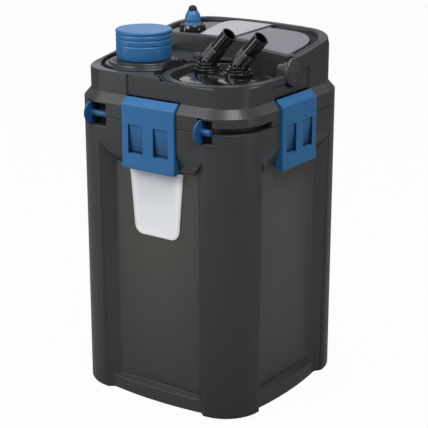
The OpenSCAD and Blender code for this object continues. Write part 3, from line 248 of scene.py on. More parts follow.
def _two_way(operation: str, swapped: bool = False) -> Callable[["Signal", object], "Signal"]:
    """Makes a Signal method that adds one Math node with two inputs.

    Args:
        operation: The node's operation.
        swapped: Whether the other value comes first.

    Returns:
        The method.
    """

    def method(self: "Signal", other: Union["Signal", Number]) -> "Signal":
        """Joins two values by the Math node.

        Args:
            self: One value.
            other: The other value.

        Returns:
            The result.
        """
        pair = (other, self) if swapped else (self, other)
        return self._math(operation, *pair)

    return method


class Signal:
    """A shader socket that adds Math nodes when it is used in an expression."""

    def __init__(self, graph: Graph, socket: bpy.types.NodeSocket) -> None:
        """Wraps a socket.

        Args:
            graph: The graph that the socket is in.
            socket: The output socket.
        """
        self.graph = graph
        self.socket = socket

    def _math(self, operation: str, *values: Union["Signal", Number], clamp: bool = False) -> "Signal":
        """Adds one Math node.

        Args:
            operation: The node's operation.
            values: Its inputs, in order.
            clamp: Whether the result stays between 0 and 1.

        Returns:
            The result.
        """
        made = self.graph.node(
            "ShaderNodeMath",
            {"operation": operation, "use_clamp": clamp},
            dict(enumerate(values)),
        )
        return Signal(self.graph, made.outputs[0])

    __add__ = __radd__ = _two_way("ADD")
    __sub__ = _two_way("SUBTRACT")
    __rsub__ = _two_way("SUBTRACT", swapped=True)
    __mul__ = __rmul__ = _two_way("MULTIPLY")
    __truediv__ = _two_way("DIVIDE")
    least = _two_way("MINIMUM")
    most = _two_way("MAXIMUM")

    def size(self) -> "Signal":
        """Value without its sign.

        Returns:
            The absolute value.
        """
        return self._math("ABSOLUTE", self)

    def above(self, edge: float, width: float) -> "Signal":
        """1 where the value is above the edge, 0 below it, with a soft step.

        Args:
            edge: Middle of the step.
            width: Width of the step.

        Returns:
            The mask.
        """
        return self._math("ADD", (self - edge) / width, 0.5, clamp=True)

    def below(self, edge: float, width: float) -> "Signal":
        """1 where the value is below the edge, with a soft step.

        Args:
            edge: Middle of the step.
            width: Width of the step.

        Returns:
            The mask.
        """
        return 1 - self.above(edge, width)


# --------------------------------------------------------------------------------------
# Finishes
# --------------------------------------------------------------------------------------

# Widths of the steps between two colours of one moulding
CRISP = 0.0006
SOFT = 0.001


class Tone(Enum):
    """Colours of the object's mouldings."""

    GRAPHITE = srgb(56, 57, 58)
    SMOKE = srgb(81, 78, 74)
    OCEAN_BLUE = srgb(42, 104, 156)
    # Painted shade of the clamp window pockets
    POCKET_SHADE_BLUE = srgb(24, 62, 100)
    # A darker copy of the ocean blue: painted shade on the release knobs
    SHADED_KNOB_BLUE = srgb(30, 80, 130)
    GLOSS_BLACK = srgb(20, 20, 23)
    COLLAR_GREY = srgb(38, 40, 42)
    PEARL_GREY = srgb(140, 140, 146)
    BUTTON_GREY = srgb(112, 112, 119)
    BADGE_WHITE = srgb(251, 252, 253)
    RUBBER_BLACK = srgb(24, 24, 25)
    INNER_GREY = srgb(62, 63, 66)
    BORDER_WHITE = srgb(232, 234, 238)
    # Lighter than the shell: painted highlight along the rim lips
    LIP_HIGHLIGHT_GREY = srgb(74, 76, 79)
    MARK_WHITE = srgb(205, 214, 224)
    FOAM_ORANGE = srgb(214, 118, 58)


@dataclass(frozen=True)
class MouldedPlastic:
    """Injection moulded plastic with a fine grain and slight shade variation."""

    name: str
    tone: Colour
    roughness: float = 0.42
    grain: float = 0.10
    grain_scale: float = 1400.0
    drift: float = 0.10
    coat: float = 0.0
    specular: float = 0.5
    patch_scale: float = 18.0
    wear_scale: float = 60.0
    wear: float = 0.10
    bump_height: float = 0.0002
    coat_roughness: float = 0.08

    def shaded(self, graph: Graph) -> Signal:
        """Base colour with a slow drift in shade.

        Args:
            graph: The material's graph.

        Returns:
            The colour.
        """
        light = tuple(min(1.0, c * (1 + self.drift)) for c in self.tone)
        dark = tuple(c * (1 - self.drift) for c in self.tone)
        return graph.mix(graph.noise(self.patch_scale, 3.0), dark, light)

    def material(self) -> bpy.types.Material:
        """Builds the material.

        Returns:
            The material.
        """
        graph = Graph(self.name)
        return self.surface(graph, self.shaded(graph))

    def rough(self, graph: Graph) -> Signal:
        """Roughness with slow patches.

        Args:
            graph: The material's graph.

        Returns:
            The roughness.
        """
        return graph.noise(self.wear_scale, 2.0) * self.wear + (self.roughness - self.wear / 2)

    def surface(self, graph: Graph, colour: Signal) -> bpy.types.Material:
        """Finishes the shader from its colour.

        Args:
            graph: The material's graph.
            colour: Base colour signal.

        Returns:
            The material.
        """
        grain = graph.noise(self.grain_scale, 1.0)
        bump = graph.node(
            "ShaderNodeBump",
            inputs={"Strength": self.grain, "Distance": self.bump_height, "Height": grain},
        )
        rough = self.rough(graph)
        shader = graph.node(
            "ShaderNodeBsdfPrincipled",
            inputs={
                "Base Color": colour,
                "Roughness": rough,
                "Normal": bump.outputs["Normal"],
                "Coat Weight": self.coat,
                "Coat Roughness": self.coat_roughness,
                "Specular IOR Level": self.specular,
            },
        )
        return graph.finish(shader.outputs[0])


@dataclass(frozen=True)
class TankPlastic(MouldedPlastic):
    """Tank moulding: graphite columns with smoky panels between them, both with painted shade."""

    panel_tone: Colour = Tone.SMOKE.value
    panel_reach: float = 0.1325
    panel_half: float = 0.090
    rail_top: float = 0.026
    skirt_low: float = 0.350
    # Painted light and shade on the panels: lighter at the top, darker at the bottom and towards their
    # sides
    panel_shade_share: float = 0.50
    panel_light_share: float = 1.12
    shade_fade: tuple[float, float] = (0.17, 0.34)
    side_fade: tuple[float, float] = (0.050, 0.060)
    painted_side_shade: float = 0.45
    # Painted shade on the columns: darker towards their foot
    foot_fade: tuple[float, float] = (0.18, 0.36)
    painted_foot_shade: float = 0.62
    foot_shade_share: float = 0.35

    def shaded(self, graph: Graph) -> Signal:
        """Column colour with the panel colour on the recessed sides, with painted light and shade on both.

        Args:
            graph: The material's graph.

        Returns:
            The colour.
        """
        base = super().shaded(graph)
        x, y, z = graph.position()
        reach = x.size().most(y.size())
        across = x.size().least(y.size())
        panel = reach.below(self.panel_reach, SOFT) * z.above(self.rail_top, SOFT)
        panel = panel * z.below(self.skirt_low + 10 * SOFT, 3 * SOFT)
        panel = panel * across.below(self.panel_half, SOFT)
        # Painted shade: the panels run from dark at the bottom to light at the top and darken towards their
        # sides
        low = tuple(c * self.panel_shade_share for c in self.panel_tone)
        high = tuple(min(1.0, c * self.panel_light_share) for c in self.panel_tone)
        painted_panel = graph.mix(z.above(*self.shade_fade), low, high)
        painted_panel = graph.mix(across.above(*self.side_fade) * self.painted_side_shade, painted_panel, low)
        # Painted shade: the columns darken towards their foot
        foot_shade_mask = z.below(*self.foot_fade) * across.above(self.panel_half, 4 * SOFT)
        foot = graph.mix(foot_shade_mask * self.painted_foot_shade, base, tuple(c * self.foot_shade_share for c in self.tone))
        return graph.mix(panel, foot, painted_panel)


@dataclass(frozen=True)
class CrownSurface:
    """Crowned top of the rear housing, for the pieces on it and the masks of its finish."""

    front_y: float = 0.037
    front_z: float = 0.509
    tilt: float = math.radians(7.9)
    radius: float = 2.0

    def height(self, x: Union[float, Signal], y: Union[float, Signal]) -> Union[float, Signal]:
        """Height of the surface above a point of the plan.

        Args:
            x: Position across, as a number or a signal.
            y: Position front to back, of the same kind.

        Returns:
            The height, of the same kind.
        """
        return self.front_z + (y - self.front_y) * math.tan(self.tilt) - x * x / (2 * self.radius)


@dataclass(frozen=True)
class HeadPlastic(MouldedPlastic):
    """Head moulding: satin graphite with a gloss black tray inside the top rim and painted top light on the
    level deck.
    """

    tray_tone: Colour = Tone.GLOSS_BLACK.value
    crown: CrownSurface = CrownSurface()
    tray_depth: float = 0.0024
    tray_low: float = 0.496
    tray_gloss: float = 0.24
    # Painted top light: the level deck's upward faces are a little lighter
    deck_light_tone: Colour = srgb(58, 61, 64)
    deck_z: float = 0.482
    tray_facing: tuple[float, float] = (0.7, 0.1)
    deck_facing: tuple[float, float] = (0.9, 0.05)

    def tray(self, graph: Graph) -> Signal:
        """1 on the tray below the crowned rim, 0 elsewhere.

        Args:
            graph: The material's graph.

        Returns:
            The mask.
        """
        x, y, z = graph.position()
        sunk = (self.crown.height(x, y) - z).above(self.tray_depth, CRISP) * z.above(self.tray_low, SOFT)
        return sunk * graph.upward().above(*self.tray_facing)

    def shaded(self, graph: Graph) -> Signal:
        """Shell colour with the tray, and the deck's level top painted slightly lighter as painted top
        light.

        Args:
            graph: The material's graph.

        Returns:
            The colour.
        """
        z = graph.position()[2]
        # Painted top light on the upward faces of the level deck
        level = z.above(self.deck_z - SOFT, SOFT) * z.below(self.deck_z + SOFT, SOFT)
        deck = level * graph.upward().above(*self.deck_facing)
        base = graph.mix(deck, super().shaded(graph), self.deck_light_tone)
        return graph.mix(self.tray(graph), base, self.tray_tone)

    def rough(self, graph: Graph) -> Signal:
        """Satin everywhere but in the gloss tray.

        Args:
            graph: The material's graph.

        Returns:
            The roughness.
        """
        return super().rough(graph) - self.tray(graph) * self.tray_gloss


@dataclass(frozen=True)
class ClampPlastic(MouldedPlastic):
    """Clamp moulding with painted shade in its window pockets and painted shadow lines along their edges.
    """

    # Painted shade in the window pockets and painted shadow lines along their edges
    pocket_shade_tone: Colour = Tone.POCKET_SHADE_BLUE.value
    pocket_shadow_tone: Colour = srgb(16, 26, 52)
    face_reach: float = 0.1508
    low: float = 0.3738
    high: float = 0.4150
    near: float = 0.0090
    far: float = 0.0340
    line: float = 0.0012
    foot_line: float = 0.0036
    top_line: float = 0.0014
    depth: float = 0.85
    shade_fade: tuple[float, float] = (0.392, 0.040)

    def shaded(self, graph: Graph) -> Signal:
        """Blue with painted shade deepening towards the pocket foot and painted shadow lines at the pocket
        edges.

        Args:
            graph: The material's graph.

        Returns:
            The colour.
        """
        x, y, z = graph.position()
        reach = x.size().most(y.size())
        pocket = reach.below(self.face_reach, CRISP) * z.above(self.low, CRISP)
        pocket = pocket * z.below(self.high, CRISP)
        across = x.size().least(y.size())
        pocket = pocket * across.below(self.far + self.line, CRISP)
        # Painted shade: the pockets darken towards their foot
        shade_fade = graph.mix(z.below(*self.shade_fade), super().shaded(graph), self.pocket_shade_tone)
        # Painted shadow lines along the pocket sides, foot and top
        sides = across.below(self.near + self.line, CRISP).most(
            across.above(self.far - self.line, CRISP)
        )
        ends = z.below(self.low + self.foot_line, SOFT).most(
            z.above(self.high - self.top_line, CRISP)
        )
        pale = graph.mix(pocket * self.depth, super().shaded(graph), shade_fade)
        return graph.mix(pocket * sides.most(ends) * self.depth, pale, self.pocket_shadow_tone)


@dataclass(frozen=True)
class BadgePlastic(MouldedPlastic):
    """Bare badge plate: white with a pale grey middle that fades out sideways."""

    half_width: float = 0.03312
    middle: Colour = srgb(232, 236, 242)
    side_fade: float = 0.006
    foot_fade: tuple[float, float] = (0.262, 0.016)
    top_fade: tuple[float, float] = (0.300, 0.10)

    def shaded(self, graph: Graph) -> Signal:
        """White with a pale middle.

        Args:
            graph: The material's graph.

        Returns:
            The colour.
        """
        x, _y, z = graph.position()
        inner = x.size().below(self.half_width, self.side_fade) * z.above(*self.foot_fade)
        pale = graph.mix(z.above(*self.top_fade), self.tone, self.middle)
        return graph.mix(inner, self.tone, pale)


@dataclass(frozen=True)
class OpenFoam:
    """Filter foam with visible pores."""

    name: str
    tone: Colour
    pore_scale: float = 420.0
    pore_strength: float = 0.8
    pore_depth: float = 0.001
    pore_share: float = 0.35
    roughness: float = 0.9

    def material(self) -> bpy.types.Material:
        """Builds the material.

        Returns:
            The material.
        """
        graph = Graph(self.name)
        coordinates = graph.node("ShaderNodeTexCoord")
        cells = graph.node(
            "ShaderNodeTexVoronoi",
            inputs={"Vector": coordinates.outputs["Object"], "Scale": self.pore_scale},
        )
        depth = graph.signal(cells.outputs["Distance"])
        bump = graph.node(
            "ShaderNodeBump",
            inputs={"Strength": self.pore_strength, "Distance": self.pore_depth, "Height": depth},
        )
        colour = graph.mix(depth, self.tone, tuple(c * self.pore_share for c in self.tone))
        shader = graph.node(
            "ShaderNodeBsdfPrincipled",
            inputs={
                "Base Color": colour,
                "Roughness": self.roughness,
                "Normal": bump.outputs["Normal"],
            },
        )
        return graph.finish(shader.outputs[0])


@dataclass(frozen=True)
class GroundSteel:
    """Ground steel with fine marks all over."""

    name: str
    dark: Colour = (0.48, 0.48, 0.50)
    light: Colour = (0.62, 0.62, 0.64)
    mark_scale: float = 900.0
    roughness: float = 0.25
    wear: float = 0.15

    def material(self) -> bpy.types.Material:
        """Builds the material.

        Returns:
            The material.
        """
        graph = Graph(self.name)
        marks = graph.noise(self.mark_scale, 2.0)
        shader = graph.node(
            "ShaderNodeBsdfPrincipled",
            inputs={
                "Base Color": graph.mix(marks, self.dark, self.light),
                "Metallic": 1.0,
                "Roughness": marks * self.wear + self.roughness,
            },
        )
        return graph.finish(shader.outputs[0])


@dataclass(frozen=True)
class HeaterGlass:
    """Smoky glass of the heater tube, drawn without see-through."""

    name: str
    dark: Colour = (0.55, 0.60, 0.62)
    light: Colour = (0.62, 0.66, 0.68)
    haze_scale: float = 80.0
    roughness: float = 0.04
    wear: float = 0.06
    bending: float = 1.5

    def material(self) -> bpy.types.Material:
        """Builds the material.

        Returns:
            The material.
        """
        graph = Graph(self.name)
        haze = graph.noise(self.haze_scale, 2.0)
        shader = graph.node(
            "ShaderNodeBsdfPrincipled",
            inputs={
                "Base Color": graph.mix(haze, self.dark, self.light),
                "Roughness": haze * self.wear + self.roughness,
                "IOR": self.bending,
                "Transmission Weight": 0.0,
            },
        )
        return graph.finish(shader.outputs[0])


class Palette:
    """All finishes of the object, built once."""

    def __init__(self) -> None:
        """Builds the materials."""
        make = MouldedPlastic
        self.shell = make("graphite_shell", Tone.GRAPHITE.value, roughness=0.36).material()
        self.head = HeadPlastic("graphite_head", Tone.GRAPHITE.value, roughness=0.31).material()
        self.tank = TankPlastic("graphite_tank", Tone.GRAPHITE.value, roughness=0.31).material()
        self.shaded_knob_blue = make("shaded_knob_blue", Tone.SHADED_KNOB_BLUE.value, roughness=0.34, grain=0.05).material()
        self.blue = make("ocean_blue", Tone.OCEAN_BLUE.value, roughness=0.34, grain=0.05).material()
        self.clamp_blue = ClampPlastic(
            "clamp_blue", Tone.OCEAN_BLUE.value, roughness=0.34, grain=0.05
        ).material()
        self.gloss_black = make(
            "gloss_black", Tone.GLOSS_BLACK.value, roughness=0.14, grain=0.02, coat=0.4
        ).material()
        self.collar = make("collar_grey", Tone.COLLAR_GREY.value, roughness=0.28, grain=0.03).material()
        self.pearl = make(
            "pearl_grey", Tone.PEARL_GREY.value, roughness=0.12, grain=0.02, drift=0.03, coat=0.5
        ).material()
        self.button = make("button_grey", Tone.BUTTON_GREY.value, roughness=0.3, grain=0.05).material()
        self.badge = BadgePlastic(
            "badge_white", Tone.BADGE_WHITE.value, roughness=0.22, grain=0.02, drift=0.01
        ).material()
        self.badge_edge = make(
            "badge_edge", Tone.BORDER_WHITE.value, roughness=0.2, grain=0.02, drift=0.02
        ).material()
        self.lip = make("lip_highlight_grey", Tone.LIP_HIGHLIGHT_GREY.value, roughness=0.28, grain=0.03).material()
        self.mark = make("mark_white", Tone.MARK_WHITE.value, roughness=0.4, grain=0.05).material()
        self.rubber = make("black_rubber", Tone.RUBBER_BLACK.value, roughness=0.75, grain=0.25).material()
        self.inner = make("inner_grey", Tone.INNER_GREY.value, roughness=0.5).material()
        self.foam = OpenFoam("orange_foam", Tone.FOAM_ORANGE.value).material()
        self.steel = GroundSteel("ground_steel").material()
        self.glass = HeaterGlass("heater_glass").material()


# --------------------------------------------------------------------------------------
# Mesh helpers
# --------------------------------------------------------------------------------------


def put_material(obj: bpy.types.Object, material: bpy.types.Material) -> None:
    """Gives every face of an object one material.

    Args:
        obj: The object.
        material: The material.
    """
    if not obj.material_slots:
        obj.data.materials.append(material)
    for slot in obj.material_slots:
        slot.material = material


def new_object(name: str, mesh: bpy.types.Mesh) -> bpy.types.Object:
    """Links a new object at the origin.

    Args:
        name: Name of the object.
        mesh: Its mesh.

    Returns:
        The object.
    """
    obj = bpy.data.objects.new(name, mesh)
    bpy.context.scene.collection.objects.link(obj)
    return obj


def baked(obj: bpy.types.Object, name: str) -> bpy.types.Object:
    """Turns an object with modifiers into a plain mesh object.

    Args:
        obj: The object, which is removed.
        name: Name of the result.

    Returns:
        The plain object.
    """
    bpy.context.view_layer.update()
    graph = bpy.context.evaluated_depsgraph_get()
    mesh = bpy.data.meshes.new_from_object(obj.evaluated_get(graph), depsgraph=graph)
    mesh.name = name
    old = obj.data
    bpy.data.objects.remove(obj)
    if old.users == 0 and isinstance(old, bpy.types.Mesh):
        bpy.data.meshes.remove(old)
    return new_object(name, mesh)


@dataclass(frozen=True)
class Softener:
    """Makes a copy of a CAD node with small rounded edges."""

    width: float = 0.0006
    angle: float = 32.0
    segments: int = 2
    weld: float = 0.000004
    flat_angle: float = 0.8
    face_weight: int = 50

    def copy(self, node: bpy.types.Object, name: str) -> bpy.types.Object:
        """Copies, merges and rounds a node.

        Args:
            node: The CAD node's object.
            name: Name of the copy.

        Returns:
            The new object.
        """
        mesh = node.data.copy()
        mesh.name = name
        work = bmesh.new()
        work.from_mesh(mesh)
        bmesh.ops.remove_doubles(work, verts=work.verts, dist=self.weld)
        bmesh.ops.dissolve_degenerate(work, edges=work.edges, dist=self.weld)
        limit = math.radians(self.flat_angle)
        bmesh.ops.dissolve_limit(work, angle_limit=limit, verts=work.verts, edges=work.edges)
        bmesh.ops.connect_verts_concave(work, faces=work.faces[:])
        for element in (*work.faces, *work.edges):
            element.smooth = True
        work.to_mesh(mesh)
        work.free()
        if mesh.attributes.get("custom_normal"):
            mesh.attributes.remove(mesh.attributes["custom_normal"])
        obj = new_object(name + "_rough", mesh)
        bevel = obj.modifiers.new("edges", "BEVEL")
        bevel.width = self.width
        bevel.segments = self.segments
        bevel.limit_method = "ANGLE"
        bevel.angle_limit = math.radians(self.angle)
        bevel.use_clamp_overlap = False
        bevel.miter_outer = "MITER_ARC"
        flat = obj.modifiers.new("even shading", "WEIGHTED_NORMAL")
        flat.mode = "FACE_AREA"
        flat.weight = self.face_weight
        flat.keep_sharp = True
        return baked(obj, name)


class NodeTree(NodeBuilder):
    """A Geometry Nodes tree with named inputs, built in code."""

    def __init__(self, name: str) -> None:
        """Starts an empty tree with a geometry input and output.

        Args:
            name: Name of the tree.
        """
        super().__init__(bpy.data.node_groups.new(name, "GeometryNodeTree"))
        self.tree.interface.new_socket("Geometry", in_out="INPUT", socket_type="NodeSocketGeometry")
        self.tree.interface.new_socket("Geometry", in_out="OUTPUT", socket_type="NodeSocketGeometry")
        self.source = self.tree.nodes.new("NodeGroupInput")
        self.sink = self.tree.nodes.new("NodeGroupOutput")
        self.identifiers: dict[str, str] = {}

    def value(self, name: str, kind: str) -> None:
        """Adds a named input, which run() fills.

        Args:
            name: Name of the input.
            kind: Socket type.
        """
        item = self.tree.interface.new_socket(name, in_out="INPUT", socket_type=kind)
        self.identifiers[name] = item.identifier

    def end(self, geometry: bpy.types.NodeSocket, material: bpy.types.Material) -> None:
        """Ends the tree in Realize Instances and Set Material.

        Args:
            geometry: Geometry that the tree gives.
            material: Its finish.
        """
        real = self.node("GeometryNodeRealizeInstances", inputs={0: geometry})
        painted = self.node(
            "GeometryNodeSetMaterial", inputs={"Geometry": real.outputs[0], "Material": material}
        )
        self.tree.links.new(painted.outputs[0], self.sink.inputs[0])

    def run(self, name: str, base: bpy.types.Mesh, values: dict[str, Number]) -> bpy.types.Object:
        """Runs the tree on a mesh and returns a plain object.

        Args:
            name: Name of the result.
            base: Mesh that the tree starts from.
            values: Values of the named inputs.

        Returns:
            The plain object.
        """
        obj = new_object(name + "_path", base)
        modifier = obj.modifiers.new("nodes", "NODES")
        modifier.node_group = self.tree
        for key, value in values.items():
            modifier[self.identifiers[key]] = value
        return baked(obj, name)


def line_mesh(name: str, points: Sequence[Point], closed: bool) -> bpy.types.Mesh:
    """Mesh of edges through points.

    Args:
        name: Name of the mesh.
        points: The points, in order.
        closed: Whether the last joins the first.

    Returns:
        The mesh.
    """
    mesh = bpy.data.meshes.new(name)
    edges = [(i, i + 1) for i in range(len(points) - 1)]
    if closed:
        edges.append((len(points) - 1, 0))
    mesh.from_pydata(points, edges, [])
    return mesh


class BeadMaker:
    """Sweeps a round bead along a path with Geometry Nodes."""

    sides = 8

    def __init__(self, material: bpy.types.Material) -> None:
        """Builds the tree.

        Args:
            material: Finish of the bead.
        """
        self.tree = NodeTree("bead_sweep")
        self.tree.value("Radius", "NodeSocketFloat")
        self.tree.value("Sides", "NodeSocketInt")
        source = self.tree.source.outputs
        curve = self.tree.node("GeometryNodeMeshToCurve", inputs={0: source["Geometry"]})
        ring = self.tree.node(
            "GeometryNodeCurvePrimitiveCircle",
            inputs={"Resolution": source["Sides"], "Radius": source["Radius"]},
        )
        swept = self.tree.node(
            "GeometryNodeCurveToMesh",
            inputs={"Curve": curve.outputs[0], "Profile Curve": ring.outputs[0], "Fill Caps": True},
        )
        smooth = self.tree.node("GeometryNodeSetShadeSmooth", inputs={0: swept.outputs[0]})
        self.tree.end(smooth.outputs[0], material)

    def bead(self, name: str, points: Sequence[Point], radius: float, closed: bool) -> bpy.types.Object:
        """Makes one bead.

        Args:
            name: Name of the piece.
            points: Path of the bead's middle.
            radius: Radius of the bead.
            closed: Whether the path closes.

        Returns:
            The bead as a plain object.
        """
        values = {"Radius": radius, "Sides": self.sides}
        return self.tree.run(name, line_mesh(name, points, closed), values)


class RingMaker:
    """Repeats a small solid around an upright axis with Geometry Nodes."""

    def __init__(self, material: bpy.types.Material) -> None:
        """Builds the tree.

        Args:
            material: Finish of the repeated solid.
        """
        self.tree = NodeTree("ring_repeat")
        self.tree.value("Count", "NodeSocketInt")
        self.tree.value("X", "NodeSocketFloat")
        self.tree.value("Y", "NodeSocketFloat")
        source = self.tree.source.outputs
        points = self.tree.node("GeometryNodePoints", inputs={"Count": source["Count"]})
        index = self.tree.node("GeometryNodeInputIndex")
        step = self.tree.node("ShaderNodeMath", {"operation": "DIVIDE"}, {0: math.tau, 1: source["Count"]})
        angle = self.tree.node(
            "ShaderNodeMath", {"operation": "MULTIPLY"}, {0: index.outputs[0], 1: step.outputs[0]}
        )
        turn = self.tree.node("ShaderNodeCombineXYZ", inputs={"Z": angle.outputs[0]})
        placed = self.tree.node(
            "GeometryNodeInstanceOnPoints",
            inputs={
                "Points": points.outputs[0],
                "Instance": source["Geometry"],
                "Rotation": turn.outputs[0],
            },
        )
        centre = self.tree.node("ShaderNodeCombineXYZ", inputs={"X": source["X"], "Y": source["Y"]})
        moved = self.tree.node(
            "GeometryNodeTransform",
            inputs={"Geometry": placed.outputs[0], "Translation": centre.outputs[0]},
        )
        self.tree.end(moved.outputs[0], material)

    def ring(self, name: str, solid: bpy.types.Mesh, count: int, x: float, y: float) -> bpy.types.Object:
        """Makes one ring of copies.

        Args:
            name: Name of the piece.
            solid: Mesh of one copy, placed out along +X from the axis.
            count: Number of copies.
            x: Position of the axis.
            y: Position of the axis.

        Returns:
            The ring as a plain object.
        """
        return self.tree.run(name, solid, {"Count": count, "X": x, "Y": y})


def block_mesh(name: str, low: Point, high: Point, taper: float, bevel: float) -> bpy.types.Mesh:
    """Small block whose top is narrower than its foot, with rounded edges.

    Args:
        name: Name of the mesh.
        low: Lowest corner.
        high: Highest corner.
        taper: How far the top stands in at its outer side and both flanks.
        bevel: Width of the rounded edges.

    Returns:
        The mesh.
    """
    mesh = bpy.data.meshes.new(name)
    work = bmesh.new()
    made = bmesh.ops.create_cube(work, size=1.0)
    for vert in made["verts"]:
        top = vert.co.z > 0
        spot = [high[a] if vert.co[a] > 0 else low[a] for a in range(3)]
        if top:
            spot[0] += -taper if vert.co.x > 0 else 0.0
            spot[1] += -taper if vert.co.y > 0 else taper
        vert.co = spot
    bmesh.ops.bevel(work, geom=work.edges[:], offset=bevel, segments=2, affect="EDGES", profile=0.5)
    work.to_mesh(mesh)
    work.free()
    return mesh


# --------------------------------------------------------------------------------------
# The object
# --------------------------------------------------------------------------------------


@dataclass(frozen=True)
class SkinOutline:
    """Bowed square outline with rounded corners, shared by tank and head."""

    reach: float = 0.1485
    corner_r: float = 0.060
    bow_r: float = 2.5
    corner_steps: int = 14
    side_steps: int = 8

    @property
    def side_centre(self) -> float:
        """Distance of the side arcs' centres beyond the middle.

        Returns:
            The distance.
        """
        return self.bow_r - self.reach

    @property
    def corner_c(self) -> float:
        """Coordinate of the corner circles' centres.

        Returns:
            The coordinate.
        """
        k = self.side_centre
        return (math.sqrt(2 * (self.bow_r - self.corner_r) ** 2 - k * k) - k) / 2

    def points(self, inset: float) -> list[tuple[float, float]]:
        """Outline points, drawn in by inset.

        Args:
            inset: Distance that the outline is drawn in.

        Returns:
            The points, anticlockwise.
        """
        c, k = self.corner_c, self.side_centre
        phi = math.atan2(c, c + k)
        quarter = math.pi / 2
        side: list[tuple[float, float]] = []
        for i in range(self.corner_steps + 1):
            a = -quarter + phi + i * (quarter - 2 * phi) / self.corner_steps
            r = self.corner_r - inset
            side.append((c + r * math.cos(a), -c + r * math.sin(a)))
        for i in range(1, self.side_steps):
            a = -phi + i * 2 * phi / self.side_steps
            r = self.bow_r - inset
            side.append((-k + r * math.cos(a), r * math.sin(a)))
        turns = [(1, 0), (0, 1), (-1, 0), (0, -1)]
        return [(x * cq - y * sq, x * sq + y * cq) for cq, sq in turns for x, y in side]


def rounded_outline(
    points: Sequence[tuple[float, float]], radii: Sequence[float], steps: int = 6
) -> list[tuple[float, float]]:
    """Closed outline with its own radius at each corner.

    Args:
        points: Corners, in order.
        radii: Radius at each corner.
        steps: Steps along each rounded corner.

    Returns:
        Points of the rounded outline.
    """
    made: list[tuple[float, float]] = []
    for i, spot in enumerate(points):
        corner = Vector(spot)
        before = (Vector(points[i - 1]) - corner).normalized()
        after = (Vector(points[(i + 1) % len(points)]) - corner).normalized()
        half = before.angle(after) / 2
        run = radii[i] / math.tan(half)
        centre = corner + (before + after).normalized() * radii[i] / math.sin(half)
        start, end = corner + before * run - centre, corner + after * run - centre
        first = math.atan2(start.y, start.x)
        sweep = (math.atan2(end.y, end.x) - first + math.pi) % math.tau - math.pi
        for k in range(steps + 1):
            a = first + sweep * k / steps
            made.append((centre.x + radii[i] * math.cos(a), centre.y + radii[i] * math.sin(a)))
    return made


def runs_of(
    points: Sequence[tuple[float, float]], keep: Callable[[float, float], bool]
) -> list[list[tuple[float, float]]]:
    """Splits a closed outline into the runs whose points are kept.

    Args:
        points: Points of the outline.
        keep: Whether a point is kept.

    Returns:
        The runs, each at least two points long.
    """
    start = next(i for i, spot in enumerate(points) if not keep(*spot))
    turned = list(points[start:]) + list(points[:start])
    runs: list[list[tuple[float, float]]] = [[]]
    for spot in turned:
        if keep(*spot):
            runs[-1].append(spot)
        elif runs[-1]:
            runs.append([])
    return [run for run in runs if len(run) > 1]


def densified(points: Sequence[tuple[float, float]], step: float) -> list[tuple[float, float]]:
    """Adds points to a closed outline so that none are further apart than a step.

    Args:
        points: Points of the outline, in order.
        step: Largest distance between neighbours.

    Returns:
        The outline with its new points.
    """
    made: list[tuple[float, float]] = []
    for a, b in zip(points, list(points[1:]) + [points[0]]):
        count = max(1, math.ceil(math.dist(a, b) / step))
        made += [(a[0] + (b[0] - a[0]) * i / count, a[1] + (b[1] - a[1]) * i / count) for i in range(count)]
    return made


class Assembly:
    """Kit that the sub-assemblies build with: it puts their pieces on the bodies."""

    def __init__(self, frame: dict, palette: Palette) -> None:
        """Keeps what every sub-assembly needs.

        Args:
            frame: The loaded frame.
            palette: The object's finishes.
        """
        self.frame = frame
        self.palette = palette
        self.pieces: list[str] = []

    def body_of(self, node: str) -> str:
        """Body that a CAD node rides on.

        Args:
            node: The node's name.

        Returns:
            The body's name.
        """
        return self.frame["nodes"][node]["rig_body"]

    def dress(self, node: str, material: bpy.types.Material) -> None:
        """Keeps a CAD node and gives it a finish.

        Args:
            node: The node's name.
            material: Its finish.
        """
        put_material(self.frame["nodes"][node], material)
        self.pieces.append(node)

    def soften(self, node: str, material: bpy.types.Material, softener: Softener) -> bpy.types.Object:
        """Replaces a CAD node by a copy with rounded edges.

        Args:
            node: The node's name.
            material: Its finish.
            softener: How its edges are rounded.

        Returns:
            The new piece.
        """
        piece = softener.copy(self.frame["nodes"][node], node + "_shell")
        piece.data.materials.clear()
        piece.data.materials.append(material)
        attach(piece, self.body_of(node))
        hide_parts(node)
        self.pieces.append(piece.name)
        return piece

    def add(self, piece: bpy.types.Object, body: str, slot: str) -> None:
        """Adds a new piece to a body.

        Args:
            piece: The piece.
            body: The body that it rides on.
            slot: Not used.
        """
        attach(piece, body)
        self.pieces.append(piece.name)


